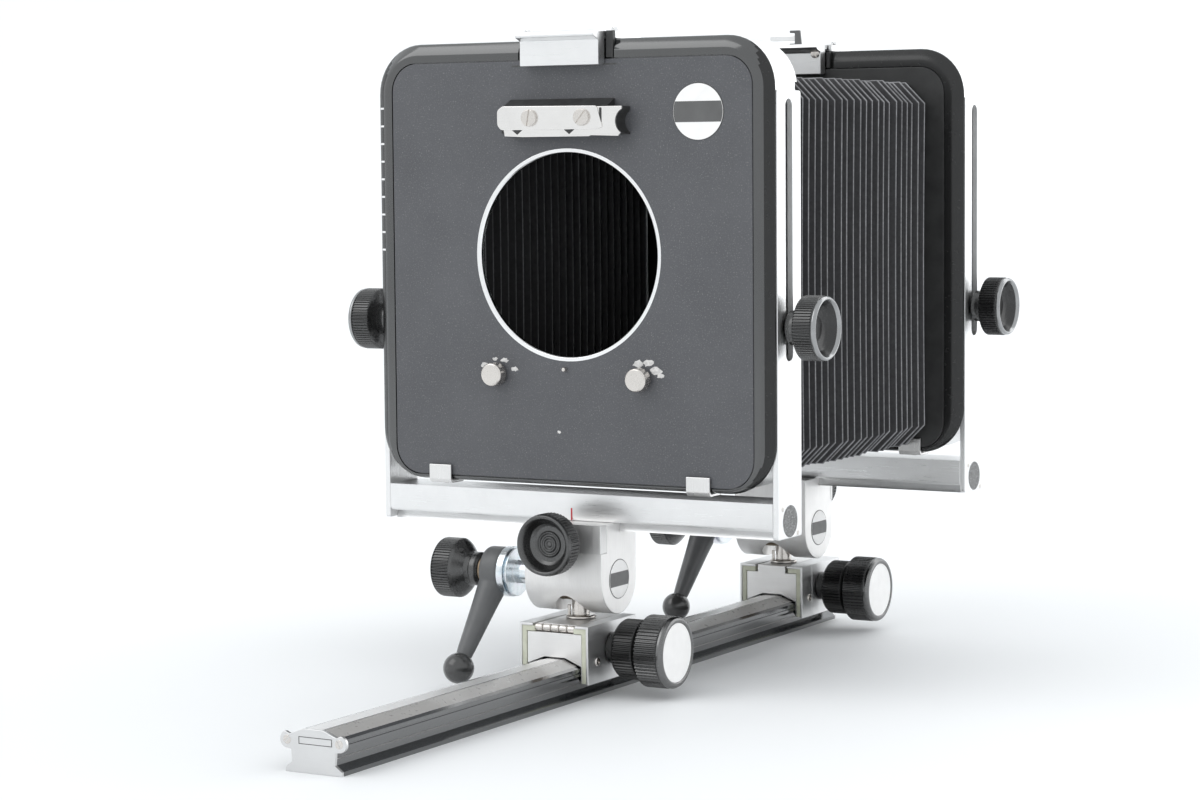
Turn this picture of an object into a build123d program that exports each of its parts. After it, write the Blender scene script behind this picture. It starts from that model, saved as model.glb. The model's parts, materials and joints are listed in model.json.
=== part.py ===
"""Monorail view camera with two U-shaped standards, a pleated bellows and a ground-glass back.

Frame: +Z up, the lens side faces -Y, X to the right seen from the front.
The origin is the centre of the rail's foot. All sizes are in millimetres.
"""

from build123d import *
import os

# ---- driving dimensions -------------------------------------------------------------------

RAIL_LENGTH = 418.0
RAIL_TOP_Z = 16.35
RAIL_TOP_HALF = 4.25
RAIL_HEAD_HALF = 12.5
RAIL_SHOULDER_Z = 13.2
RAIL_HEAD_BOTTOM_Z = 10.0
RAIL_NECK_HALF = 9.45
RAIL_NECK_TOP_Z = 9.2
RAIL_NECK_BOTTOM_Z = 3.8
RAIL_FOOT_HALF = 12.4
RAIL_FOOT_Z = 1.6
CAP_THICK = 1.6
CAP_LOBE_R = 3.2
STRIP_DEPTH = 1.0

STANDARD_Y = {"front": -8.8, "rear": 183.2}  # centre plane of each U-shaped standard
CARRIER_Y = {"front": -17.4, "rear": 183.5}  # focus pinion, in the middle of each carrier
NECK_SETBACK = 6.3  # the neck stands this far in front of its standard's centre plane
KNOB_SIDE = {"front": -1, "rear": 1}  # which way the shift knob faces along Y

CARRIER_HALF_X = 16.3
CARRIER_HALF_Y = 20.3
CARRIER_BOTTOM_Z = 6.5
CARRIER_TOP_Z = 30.6
CARRIER_WALL = 1.1
CARRIER_SLOT_HALF = 8.2  # half-width of the slot in the carrier's top
RAIL_FIT = 0.25

PINION_Z = 19.4
PINION_R = 2.9
FIT = 0.06  # radial clearance of a turning shaft
FOCUS_KNOB_R = 15.05
LOCK_RING_R = 12.5

NECK_R = 3.7
NECK_FLANGE_R = 6.4
TILT_Z = 48.0  # height of the base-tilt axis
BLOCK_R = 14.6
BLOCK_HALF_X = 18.5
DRUM_R = 10.0
DRUM_HALF_X = 13.0
NECK_HOLE = (16.0, 22.0)  # opening under the tilt block, along X and Y
JAW_BOTTOM_Z = 59.9
JAW_PLATE = {"front": 5.2, "rear": 2.4}  # thickness of the jaw's face plate
JAW_ARM_HALF_X = 11.0  # the jaw's arm lies in a channel this wide on each side
SHIFT_KNOB_Z = 64.3
SHIFT_KNOB_R = 13.0
SPINDLE_R = 4.0
LEVER_R = 10.3
LEVER_BALL_R = 6.6
LEVER_BALL = (-43.0, -28.2, -38.0)  # from the tilt axis
TILT_KNOB_R = 12.8

BAR_Z = (71.8, 83.2)
LIP_Z = 68.0
LIP_HALF = (6.0, 4.5)  # dovetail under the crossbar: half-width at its foot and at its root
UPRIGHT_X = (92.0, 94.5)
UPRIGHT_Z = (68.5, 248.5)
UPRIGHT_HALF_Y = 10.8
SLOT_Z = (140.1, 245.1)
SLOT_R = 3.1

FRAME_HALF = 94.0
FRAME_Z = (86.5, 270.7)
FRAME_CORNER_R = 21.0
RIM_Y = (-14.65, -11.0)  # the black rim, from the standard's centre plane
BAND_HALF_Y = 11.0
BAND_INSET = 1.0
BAND_WALL = 3.0
SIDE_FLAT_HALF = 91.7  # the band's flat sides, inside the uprights
SIDE_FLAT_TOP_Z = 252.0
BOARD_HALF = 85.5
BOARD_Z = (88.8, 262.5)
BOARD_CORNER_R = 12.0
BOARD_THICK = 2.3
LIGHT_HALF = 73.0
LIGHT_Z = (97.0, 249.0)

LENS_HOLE_R = 42.0
BRACKET_X = (-28.0, 30.7)  # the accessory bracket above the lens hole, from left to right
LENS_HOLE_Z = 182.4
RISE_Z = 153.6
RISE_BOLT_R = 2.9
RISE_KNOB_R = 13.2
CLIP_X = {"front": (-62.8, 60.9), "rear": (-69.2, 69.2)}
LOCK_HALF_X = {"front": 18.6, "rear": 26.5}
LOCK_CHEEK = 4.0
LOCK_LEDGE = 9.8  # how far the slider's thumb ledge stands in front of the rim

BELLOWS_HALF = 78.0
BELLOWS_Z = (89.5, 256.0)
BELLOWS_CHAMFER = 9.5
BELLOWS_WALL = 8.0
BELLOWS_REAR_GAP = 2.2  # room for the rear clips between the last pleat and its end plate
END_PLATE = 2.0  # bellows end plates

os.makedirs("parts", exist_ok=True)


def finish(piece, name):
    """Labels one finished piece and writes it."""
    piece.part.label = name
    export_step(piece.part, f"parts/{name}.step")


def facing_front(y):
    """A plane at y that faces -Y: its own axes are X and Z."""
    return Plane.XZ.offset(-y)


def facing_right(x):
    """A plane at x that faces +X: its own axes are Y and Z."""
    return Plane.YZ.offset(x)


def mid(pair):
    return (pair[0] + pair[1]) / 2


def turned(centre, direction, outline):
    """A piece of lathe work: outline holds (distance along the axis, radius) points."""
    side = Vector(0, 0, 1)
    lathe = Plane(origin=centre, x_dir=direction, z_dir=Vector(*direction).cross(side))
    with BuildSketch(lathe) as profile:
        Polygon(*outline, align=None)
    revolve(profile.sketch, axis=Axis(centre, direction))


def rod_x(x0, x1, y, z, r, mode=Mode.ADD):
    """A round rod or bore along X."""
    with BuildSketch(facing_right(x0)) as disc:
        with Locations((y, z)):
            Circle(r)
    extrude(disc.sketch, amount=x1 - x0, mode=mode)


def rod_y(y0, y1, x, z, r, mode=Mode.ADD):
    """A round rod or bore along Y."""
    with BuildSketch(facing_front(y1)) as disc:
        with Locations((x, z)):
            Circle(r)
    extrude(disc.sketch, amount=y1 - y0, mode=mode)


def slab(x, y, z, mode=Mode.ADD):
    """A box from its three (low, high) pairs."""
    with Locations((mid(x), mid(y), mid(z))):
        Box(x[1] - x[0], y[1] - y[0], z[1] - z[0], mode=mode)


def rounded(half, z, radius):
    """A rounded rectangle sketch, symmetric in X, in a plane that faces front."""
    with Locations((0, mid(z))):
        RectangleRounded(2 * half, z[1] - z[0], radius)


# ---- rail ---------------------------------------------------------------------------------


def rail_outline(grow=0.0):
    """The rail's section: a roofed head on a waist and a foot."""
    half = [
        (RAIL_TOP_HALF + grow / 2, RAIL_TOP_Z + grow),
        (RAIL_HEAD_HALF + grow, RAIL_SHOULDER_Z + grow / 2),
        (RAIL_HEAD_HALF + grow, RAIL_HEAD_BOTTOM_Z - grow / 2),
        (RAIL_NECK_HALF + grow, RAIL_NECK_TOP_Z - grow / 2),
        (RAIL_NECK_HALF + grow, RAIL_NECK_BOTTOM_Z),
        (RAIL_FOOT_HALF + grow, RAIL_FOOT_Z),
        (RAIL_FOOT_HALF + grow, 0),
    ]
    return half + [(-x, z) for x, z in reversed(half)]


def rail_face(grow=0.0):
    Polygon(*rail_outline(grow), align=None)


def make_rail():
    end = RAIL_LENGTH / 2
    body_end = end - CAP_THICK
    with BuildPart() as rail:
        with BuildSketch(facing_front(body_end)):
            rail_face()
        extrude(amount=2 * body_end)
        slab((-RAIL_TOP_HALF + 1, RAIL_TOP_HALF - 1), (-body_end, body_end),
             (RAIL_TOP_Z - STRIP_DEPTH, RAIL_TOP_Z), mode=Mode.SUBTRACT)
    finish(rail, "rail")

    with BuildPart() as rail_strip:
        slab((-RAIL_TOP_HALF + 1, RAIL_TOP_HALF - 1), (-body_end, body_end),
             (RAIL_TOP_Z - STRIP_DEPTH, RAIL_TOP_Z))
    finish(rail_strip, "rail_strip")

    with BuildPart() as rail_end_caps:
        for y in (-body_end, end):
            with BuildSketch(facing_front(y)):
                rail_face()
                with Locations((-RAIL_HEAD_HALF + 1, RAIL_SHOULDER_Z - 1.4),
                               (RAIL_HEAD_HALF - 1, RAIL_SHOULDER_Z - 1.4)):
                    Circle(CAP_LOBE_R)
            extrude(amount=CAP_THICK)
    finish(rail_end_caps, "rail_end_caps")


# ---- carrier: the housing that rides the rail, with its focus drive -------------------------


def make_carrier(which):
    yc = CARRIER_Y[which]
    y0, y1 = yc - CARRIER_HALF_Y, yc + CARRIER_HALF_Y
    wall = CARRIER_HALF_X - CARRIER_WALL
    yn = STANDARD_Y[which] - NECK_SETBACK

    with BuildPart() as shell:
        slab((-CARRIER_HALF_X, CARRIER_HALF_X), (y0, y1), (CARRIER_BOTTOM_Z, CARRIER_TOP_Z))
        slab((-wall, wall), (y0, y1), (CARRIER_BOTTOM_Z, CARRIER_TOP_Z - CARRIER_WALL),
             mode=Mode.SUBTRACT)
        slab((-CARRIER_SLOT_HALF, CARRIER_SLOT_HALF), (y0, y1),
             (CARRIER_TOP_Z - CARRIER_WALL, CARRIER_TOP_Z), mode=Mode.SUBTRACT)
        rod_x(wall, CARRIER_HALF_X, yc, PINION_Z, PINION_R + FIT, mode=Mode.SUBTRACT)
        for side in (-1, 1):
            rod_x(side * CARRIER_HALF_X, side * wall, yc - 12.5, 15.2, 1.3, mode=Mode.SUBTRACT)
    finish(shell, f"{which}_carrier_shell")

    with BuildPart() as core:
        slab((-wall, wall), (y0 + 0.4, y1 - 0.4), (CARRIER_BOTTOM_Z, CARRIER_TOP_Z - CARRIER_WALL))
        slab((-CARRIER_SLOT_HALF, CARRIER_SLOT_HALF), (y0 + 0.4, y1 - 0.4),
             (CARRIER_TOP_Z - CARRIER_WALL, CARRIER_TOP_Z))
        with BuildSketch(facing_front(y1)):
            rail_face(RAIL_FIT)
        extrude(amount=2 * CARRIER_HALF_Y, mode=Mode.SUBTRACT)
        rod_x(-10, wall, yc, PINION_Z, PINION_R + FIT, mode=Mode.SUBTRACT)
        with BuildSketch(Plane.XY.offset(CARRIER_TOP_Z)):
            with Locations((0, yn)):
                Circle(NECK_R + FIT)
        extrude(amount=-6.0, mode=Mode.SUBTRACT)
    finish(core, f"{which}_carrier_core")

    with BuildPart() as screws:
        for side in (-1, 1):
            axis = (side, 0, 0)
            turned((side * CARRIER_HALF_X, yc - 12.5, 15.2), axis,
                   [(-CARRIER_WALL, 0), (-CARRIER_WALL, 1.3), (0, 1.3), (0, 1.9), (0.6, 1.7), (0.6, 0)])
    finish(screws, f"{which}_carrier_screws")

    with BuildPart() as shaft:
        rod_x(-9.5, 38.0, yc, PINION_Z, PINION_R)
    finish(shaft, f"{which}_focus_shaft")

    with BuildPart() as knob:
        turned((0, yc, PINION_Z), (1, 0, 0),
               [(33.4, PINION_R), (33.4, 11.0), (33.8, 13.6), (34.3, FOCUS_KNOB_R),
                (44.6, FOCUS_KNOB_R), (47.3, FOCUS_KNOB_R - 1.2), (47.3, 12.3), (46.7, 12.1),
                (46.7, 0), (38.0, 0), (38.0, PINION_R)])
    finish(knob, f"{which}_focus_knob")

    with BuildPart() as lock_ring:
        inner = PINION_R + FIT
        turned((0, yc, PINION_Z), (1, 0, 0),
               [(16.6, inner), (16.6, 6.6), (21.1, 6.6), (21.1, 9.5), (22.1, 11.9),
                (23.0, LOCK_RING_R), (31.4, LOCK_RING_R), (32.3, 11.6), (33.0, 10.4), (33.0, inner)])
    finish(lock_ring, f"{which}_lock_ring")


# ---- neck, tilt block and its clamps ---------------------------------------------------------


def make_swing(which):
    yn = STANDARD_Y[which] - NECK_SETBACK
    with BuildPart() as neck:
        for z0, z1, r in ((25.2, 30.8, NECK_R), (30.8, 31.8, NECK_FLANGE_R), (31.8, 44.0, NECK_R)):
            with BuildSketch(Plane.XY.offset(z0)):
                with Locations((0, yn)):
                    Circle(r)
            extrude(amount=z1 - z0)
        rod_x(-DRUM_HALF_X, DRUM_HALF_X, yn, TILT_Z, DRUM_R)
        rod_x(-DRUM_HALF_X, DRUM_HALF_X, yn, TILT_Z, SPINDLE_R + FIT, mode=Mode.SUBTRACT)
    finish(neck, f"{which}_neck")


def make_tilt_block(which):
    """The D-shaped block that turns on the neck's drum and carries the crossbar's dovetail."""
    ys = STANDARD_Y[which]
    yn = ys - NECK_SETBACK
    side = KNOB_SIDE[which]
    gap = 0.15
    block_top = LIP_Z - gap
    hook_top = BAR_Z[0] - gap
    jaw_face = yn + side * (BLOCK_R + 0.6)  # the jaw stands a little proud of the block
    jaw_root = ys + side * 2.0
    plate_root = jaw_face - side * JAW_PLATE[which]

    with BuildPart() as block:
        with BuildSketch(facing_right(-BLOCK_HALF_X)):
            with Locations((yn, TILT_Z)):
                Circle(BLOCK_R)
            with Locations((yn, mid((TILT_Z, block_top)))):
                Rectangle(2 * BLOCK_R, block_top - TILT_Z)
            for way, end in ((-side, yn - side * BLOCK_R), (side, plate_root)):
                hook = [
                    (ys + way * (LIP_HALF[0] + gap), block_top),
                    (ys + way * (LIP_HALF[1] + gap), hook_top),
                    (end, hook_top),
                    (end, block_top),
                ]
                Polygon(*hook, align=None)
            plate_seat = sorted((plate_root, jaw_face))
            with Locations((mid(plate_seat), mid((JAW_BOTTOM_Z, hook_top + 1)))):
                Rectangle(JAW_PLATE[which], hook_top + 1 - JAW_BOTTOM_Z, mode=Mode.SUBTRACT)
        extrude(amount=2 * BLOCK_HALF_X)
        slab((-JAW_ARM_HALF_X, JAW_ARM_HALF_X), sorted((jaw_root, jaw_face)),
             (JAW_BOTTOM_Z, hook_top + 1), mode=Mode.SUBTRACT)
        rod_x(-DRUM_HALF_X - 0.2, DRUM_HALF_X + 0.2, yn, TILT_Z, DRUM_R + FIT, mode=Mode.SUBTRACT)
        with BuildSketch(Plane.XY.offset(TILT_Z)):
            with Locations((0, yn)):
                RectangleRounded(*NECK_HOLE, 7.9)
        extrude(amount=-BLOCK_R - 1, mode=Mode.SUBTRACT)
        rod_x(-BLOCK_HALF_X, BLOCK_HALF_X - 2.5, yn, TILT_Z, SPINDLE_R, mode=Mode.SUBTRACT)
        bore = sorted((yn - side * 3.0, jaw_face))
        rod_y(bore[0], bore[1], 0, SHIFT_KNOB_Z, 3.0 + FIT, mode=Mode.SUBTRACT)
    finish(block, f"{which}_tilt_block")

    with BuildPart() as jaw:
        arm_half = JAW_ARM_HALF_X - 0.1
        with BuildSketch(facing_right(-arm_half)):
            Polygon(
                (jaw_root, JAW_BOTTOM_Z),
                (jaw_face, JAW_BOTTOM_Z),
                (jaw_face, hook_top),
                (ys + side * (LIP_HALF[1] + gap), hook_top),
                (ys + side * (LIP_HALF[0] + gap), block_top),
                (jaw_root, block_top),
                align=None,
            )
        extrude(amount=2 * arm_half)
        slab((-BLOCK_HALF_X, BLOCK_HALF_X), plate_seat, (JAW_BOTTOM_Z, hook_top))
        bore = sorted((jaw_root - side, jaw_face + side))
        rod_y(bore[0], bore[1], 0, SHIFT_KNOB_Z, 3.0 + FIT, mode=Mode.SUBTRACT)
    finish(jaw, f"{which}_shift_jaw")

    with BuildPart() as spindle:
        rod_x(-56.0, BLOCK_HALF_X - 2.5, yn, TILT_Z, SPINDLE_R)
        rod_x(-30.4, -BLOCK_HALF_X, yn, TILT_Z, 4.8)
        rod_x(-31.6, -30.4, yn, TILT_Z, 10.3)
        rod_x(-32.0, -31.6, yn, TILT_Z, 8.6)
        rod_x(-35.3, -32.0, yn, TILT_Z, 10.7)
    finish(spindle, f"{which}_tilt_spindle")

    with BuildPart() as lever:
        hub = Vector(-40.2, yn, TILT_Z)
        arm = Vector(LEVER_BALL[0], yn + LEVER_BALL[1], TILT_Z + LEVER_BALL[2]) - hub
        lathe = Plane(origin=hub, x_dir=arm, z_dir=arm.cross(Vector(1, 0, 0)))
        arm_end_r = LEVER_BALL_R / 2
        arm_end = arm.length - (LEVER_BALL_R ** 2 - arm_end_r ** 2) ** 0.5
        with BuildSketch(lathe):
            with BuildLine():
                Polyline((arm.length + LEVER_BALL_R, 0), (5.0, 0), (5.0, 6.0), (arm_end, arm_end_r))
                ThreePointArc((arm_end, arm_end_r), (arm.length, LEVER_BALL_R),
                              (arm.length + LEVER_BALL_R, 0))
            make_face()
        revolve(axis=Axis(hub, arm))
        slab((-60, -44.6), (yn - 14, yn + 14), (TILT_Z - 14, TILT_Z + 14), mode=Mode.SUBTRACT)
        slab((-35.6, -25), (yn - 14, yn + 14), (TILT_Z - 14, TILT_Z + 14), mode=Mode.SUBTRACT)
        rod_x(-44.6, -35.6, yn, TILT_Z, LEVER_R)
        rod_x(-44.6, -35.6, yn, TILT_Z, SPINDLE_R + FIT, mode=Mode.SUBTRACT)
    finish(lever, f"{which}_tilt_lever")

    with BuildPart() as tilt_knob:
        turned((0, yn, TILT_Z), (-1, 0, 0),
               [(44.9, SPINDLE_R + FIT), (44.9, 4.6), (48.0, 4.6), (48.0, 6.2), (50.5, 6.6),
                (54.0, 8.0), (57.6, TILT_KNOB_R - 0.8), (58.4, TILT_KNOB_R), (66.4, TILT_KNOB_R),
                (67.4, TILT_KNOB_R - 1.0), (67.4, 0), (56.2, 0), (56.2, SPINDLE_R + FIT)])
    finish(tilt_knob, f"{which}_tilt_knob")

    with BuildPart() as shift_knob:
        stand_off = 0.3 if side < 0 else 2.8
        face = abs(jaw_face - yn) + stand_off
        turned((0, yn, SHIFT_KNOB_Z), (0, side, 0),
               [(5.0, 0), (5.0, 3.0), (face, 3.0), (face, 7.0), (face + 5.0, 7.0),
                (face + 6.6, SHIFT_KNOB_R - 0.6), (face + 14.0, SHIFT_KNOB_R),
                (face + 15.2, SHIFT_KNOB_R - 0.8), (face + 15.2, 10.6), (face + 11.5, 9.6),
                (face + 11.5, 0)])
    finish(shift_knob, f"{which}_shift_knob")


# ---- U-shaped standard -----------------------------------------------------------------------


def make_standard(which):
    ys = STANDARD_Y[which]
    with BuildPart() as crossbar:
        with BuildSketch(facing_right(-UPRIGHT_X[0])):
            with Locations((ys, mid(BAR_Z))):
                Rectangle(2 * UPRIGHT_HALF_Y, BAR_Z[1] - BAR_Z[0])
            Polygon((ys - LIP_HALF[0], LIP_Z), (ys + LIP_HALF[0], LIP_Z),
                    (ys + LIP_HALF[1], BAR_Z[0]), (ys - LIP_HALF[1], BAR_Z[0]), align=None)
        extrude(amount=2 * UPRIGHT_X[0])
    finish(crossbar, f"{which}_crossbar")

    with BuildPart() as uprights:
        for side in (-1, 1):
            x = sorted((side * UPRIGHT_X[0], side * UPRIGHT_X[1]))
            slab(x, (ys - UPRIGHT_HALF_Y, ys + UPRIGHT_HALF_Y), UPRIGHT_Z)
            with BuildSketch(facing_right(x[0])):
                with Locations((ys, mid(SLOT_Z))):
                    SlotOverall(SLOT_Z[1] - SLOT_Z[0], 2 * SLOT_R, rotation=90)
            extrude(amount=x[1] - x[0], mode=Mode.SUBTRACT)
    finish(uprights, f"{which}_uprights")


# ---- format frame: band, rim, locks, clips and rise knobs ----------------------------------


def make_format_frame(which):
    ys = STANDARD_Y[which]
    band_half = FRAME_HALF - BAND_INSET
    band_z = (FRAME_Z[0] + BAND_INSET, FRAME_Z[1] - BAND_INSET)
    band_r = FRAME_CORNER_R - BAND_INSET
    inner_z = (band_z[0] + BAND_WALL, band_z[1] - BAND_WALL)
    lock_half = LOCK_HALF_X[which]
    lock_end = lock_half + LOCK_CHEEK
    back = ys + BAND_HALF_Y
    front = ys - BAND_HALF_Y

    with BuildPart() as band:
        with BuildSketch(facing_front(back)):
            rounded(band_half, band_z, band_r)
            with Locations((0, mid(inner_z))):
                RectangleRounded(2 * (band_half - BAND_WALL), inner_z[1] - inner_z[0],
                                 band_r - BAND_WALL, mode=Mode.SUBTRACT)
        extrude(amount=2 * BAND_HALF_Y)
        with BuildSketch(facing_front(back)):
            rounded(band_half - 1, (band_z[0] + 1, band_z[1] - 1), band_r - 1)
            with Locations((0, mid(LIGHT_Z))):
                Rectangle(2 * LIGHT_HALF, LIGHT_Z[1] - LIGHT_Z[0], mode=Mode.SUBTRACT)
        extrude(amount=2.0)
        for side in (-1, 1):
            x = sorted((side * SIDE_FLAT_HALF, side * FRAME_HALF))
            slab(x, (front, back), (band_z[0] - 1, SIDE_FLAT_TOP_Z), mode=Mode.SUBTRACT)
            x = sorted((side * (band_half - BAND_WALL), side * SIDE_FLAT_HALF))
            rod_x(x[0], x[1], ys, RISE_Z, RISE_BOLT_R, mode=Mode.SUBTRACT)
    finish(band, f"{which}_frame_band")

    rim_front, rim_back = ys + RIM_Y[0], ys + RIM_Y[1]
    seat = rim_front + BOARD_THICK + 0.1
    with BuildPart() as rim:
        with BuildSketch(facing_front(rim_back)):
            rounded(FRAME_HALF, FRAME_Z, FRAME_CORNER_R)
        extrude(amount=rim_back - rim_front)
        fillet(rim.faces().sort_by(Axis.Y)[0].edges(), 2.6)
        with BuildSketch(facing_front(rim_back)):
            with Locations((0, mid(LIGHT_Z))):
                Rectangle(2 * LIGHT_HALF, LIGHT_Z[1] - LIGHT_Z[0])
        extrude(amount=rim_back - rim_front, mode=Mode.SUBTRACT)
        with BuildSketch(facing_front(seat)):
            rounded(BOARD_HALF + 0.2, (BOARD_Z[0] - 0.2, BOARD_Z[1] + 0.2), BOARD_CORNER_R + 0.2)
        extrude(amount=seat - rim_front, mode=Mode.SUBTRACT)
        gap = lock_end + 0.2
        slab((-gap, gap), (rim_front - 1, seat), (BOARD_Z[1] - 1, FRAME_Z[1] + 1),
             mode=Mode.SUBTRACT)
    finish(rim, f"{which}_frame_rim")

    with BuildPart() as bolts:
        for side in (-1, 1):
            x = sorted((side * (band_half - BAND_WALL - 2), side * 106.2))
            rod_x(x[0], x[1], ys, RISE_Z, RISE_BOLT_R)
            x = sorted((side * (band_half - BAND_WALL - 2), side * (band_half - BAND_WALL)))
            rod_x(x[0], x[1], ys, RISE_Z, 5.0)
    finish(bolts, f"{which}_rise_bolts")

    for name, side in (("left", -1), ("right", 1)):
        with BuildPart() as rise_knob:
            bore = RISE_BOLT_R + FIT
            turned((0, ys, RISE_Z), (side, 0, 0),
                   [(94.9, bore), (94.9, 6.4), (96.4, 7.1), (100.6, 6.9), (101.0, 11.6),
                    (101.9, RISE_KNOB_R - 0.5), (110.2, RISE_KNOB_R), (111.8, RISE_KNOB_R - 1.0),
                    (111.8, 11.2), (110.4, 10.0), (107.6, 8.6), (106.6, 6.0), (106.6, bore)])
        finish(rise_knob, f"{which}_rise_knob_{name}")

    top = FRAME_Z[1]
    with BuildPart() as lock:
        for side in (-1, 1):
            x = sorted((side * (lock_half + 0.3), side * lock_end))
            slab(x, (rim_front, seat), (BOARD_Z[1] + 0.4, top + 3.3))
        slab((-lock_end, lock_end), (rim_front + 9.0, ys + 9.0), (band_z[1], top + 3.3))
        for side in (-1, 1):
            x = sorted((side * (lock_half + 0.3), side * lock_end))
            slab(x, (seat, rim_front + 9.0), (top, top + 3.3))
    finish(lock, f"{which}_board_lock")

    with BuildPart() as slider:
        wide = (-lock_half, lock_half)
        slab(wide, (rim_front - 5.8, rim_front - 0.25), (BOARD_Z[1] - 2.0, top + 0.6))
        slab(wide, (rim_front - LOCK_LEDGE, rim_front + 8.6), (top + 0.6, top + 3.4))
        chamfer(slider.edges().filter_by(Axis.X).sort_by(Axis.Y)[:2], 0.8)
    finish(slider, f"{which}_lock_slider")

    with BuildPart() as clips:
        for x in CLIP_X[which]:
            wide = (x - 5.4, x + 5.4)
            low = FRAME_Z[0] - 1.2
            slab(wide, (rim_front - 1.6, rim_front - 0.5), (low, BOARD_Z[0] + 4.4))
            slab(wide, (rim_front - 1.6, ys - 6), (low, FRAME_Z[0]))
    finish(clips, f"{which}_clips")


def make_top_hook():
    """The small C-shaped catch that stands on the rear frame's lock."""
    front = STANDARD_Y["rear"] + RIM_Y[0] + 10.0
    back = front + 21.0
    base = FRAME_Z[1] + 3.3
    with BuildPart() as hook:
        with BuildSketch(facing_front(back)):
            Polygon((3.2, base), (9.2, base), (8.4, base + 7.3), (3.2, base + 7.3),
                    (3.2, base + 6.1), (5.8, base + 6.1), (5.8, base + 1.2), (3.2, base + 1.2),
                    align=None)
        extrude(amount=back - front)
        slab((-8.0, 6.5), (front + 2.0, front + 5.0), (base + 2.6, base + 5.0))
    finish(hook, "rear_hook")


# ---- lens board and what is on it ------------------------------------------------------------


def make_lens_board():
    face = STANDARD_Y["front"] + RIM_Y[0]
    with BuildPart() as board:
        with BuildSketch(facing_front(face + BOARD_THICK)):
            rounded(BOARD_HALF, BOARD_Z, BOARD_CORNER_R)
        extrude(amount=BOARD_THICK)
        rod_y(face, face + BOARD_THICK, 0, LENS_HOLE_Z, LENS_HOLE_R, mode=Mode.SUBTRACT)
    finish(board, "lens_board")

    with BuildPart() as bracket:
        with BuildSketch(facing_right(BRACKET_X[0])):
            Polygon((face, 231.4), (face - 8.6, 232.6), (face - 8.6, 243.2), (face, 246.8),
                    align=None)
        extrude(amount=BRACKET_X[1] - BRACKET_X[0])
        slab((23.2, BRACKET_X[1] + 1), (face - 9, face + 1), (243.2, 248), mode=Mode.SUBTRACT)
        rod_y(face - 9, face + 1, BRACKET_X[1] + 2.5, 237.0, 5.5, mode=Mode.SUBTRACT)
    finish(bracket, "board_bracket")

    with BuildPart() as studs:
        for x in (-12.3, 12.5):
            rod_y(face - 10.2, face - 8.6, x, 238.8, 3.5)
        for x, z in ((-34.3, 132.4), (34.6, 132.0)):
            turned((x, face, z), (0, -1, 0), [(0, 0), (0, 4.9), (5.6, 4.9), (6.3, 4.3), (6.3, 0)])
        rod_y(face - 2.0, face, -1.5, 135.1, 1.0)
    finish(studs, "board_studs")


# ---- bellows and its end plates --------------------------------------------------------------


def octagon(inset):
    """The bellows' section, a rectangle with cut corners, shrunk by inset."""
    half = BELLOWS_HALF - inset
    low, high = BELLOWS_Z[0] + inset, BELLOWS_Z[1] - inset
    cut = BELLOWS_CHAMFER
    right = [(half - cut, low), (half, low + cut), (half, high - cut), (half - cut, high)]
    Polygon(*right, *[(-x, z) for x, z in reversed(right)], align=None)


def make_bellows():
    front_plate = STANDARD_Y["front"] + BAND_HALF_Y
    rear_face = STANDARD_Y["rear"] + RIM_Y[0]
    y0 = front_plate + END_PLATE
    y1 = rear_face
    length = y1 - BELLOWS_REAR_GAP - y0
    with BuildPart() as bellows:
        with BuildSketch(facing_front(y0 + length)):
            octagon(0)
        extrude(amount=length)
        with BuildSketch(facing_front(y0 + length)):
            octagon(BELLOWS_WALL)
        extrude(amount=length, mode=Mode.SUBTRACT)
    finish(bellows, "bellows")

    opening = BELLOWS_WALL + 1.0
    with BuildPart() as front_plate_part:
        with BuildSketch(facing_front(y0)):
            rounded(BOARD_HALF, BOARD_Z, BOARD_CORNER_R)
        extrude(amount=END_PLATE)
        with BuildSketch(facing_front(y0)):
            octagon(opening)
        extrude(amount=END_PLATE, mode=Mode.SUBTRACT)
    finish(front_plate_part, "front_bellows_plate")

    with BuildPart() as rear_plate_part:
        with BuildSketch(facing_front(y1 + BOARD_THICK)):
            rounded(BOARD_HALF, BOARD_Z, BOARD_CORNER_R)
        extrude(amount=BOARD_THICK)
        with BuildSketch(facing_front(y1 + BOARD_THICK)):
            octagon(opening)
        extrude(amount=BOARD_THICK, mode=Mode.SUBTRACT)
    finish(rear_plate_part, "rear_bellows_plate")


# ---- ground-glass back -----------------------------------------------------------------------


def make_back():
    y = STANDARD_Y["rear"] + BAND_HALF_Y
    glass_z = (mid(LIGHT_Z) - 54.0, mid(LIGHT_Z) + 54.0)
    with BuildPart() as back_plate:
        with BuildSketch(facing_front(y + 3.0)):
            rounded(BOARD_HALF, BOARD_Z, BOARD_CORNER_R)
            with Locations((0, mid(LIGHT_Z))):
                Rectangle(124.0, 100.0, mode=Mode.SUBTRACT)
        extrude(amount=3.0)
    finish(back_plate, "back_plate")

    with BuildPart() as glass_holder:
        with BuildSketch(facing_front(y + 8.2)):
            with Locations((0, mid(LIGHT_Z))):
                RectangleRounded(150.0, 126.0, 4.0)
                Rectangle(124.0, 98.0, mode=Mode.SUBTRACT)
        extrude(amount=5.0)
        slab((-64.2, 64.2), (y + 3.2, y + 5.4), (glass_z[0] + 2.8, glass_z[1] - 2.8),
             mode=Mode.SUBTRACT)
    finish(glass_holder, "glass_holder")

    with BuildPart() as ground_glass:
        slab((-64.0, 64.0), (y + 3.3, y + 5.3), (glass_z[0] + 3.0, glass_z[1] - 3.0))
    finish(ground_glass, "ground_glass")

    with BuildPart() as back_springs:
        for side in (-1, 1):
            z = mid(LIGHT_Z) + side * 70.0
            slab((-60.0, 60.0), (y + 3.0, y + 3.8), (z - 4.5, z + 4.5))
            for x in (-54.0, 54.0):
                rod_y(y + 3.8, y + 5.4, x, z, 2.6)
    finish(back_springs, "back_springs")


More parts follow.
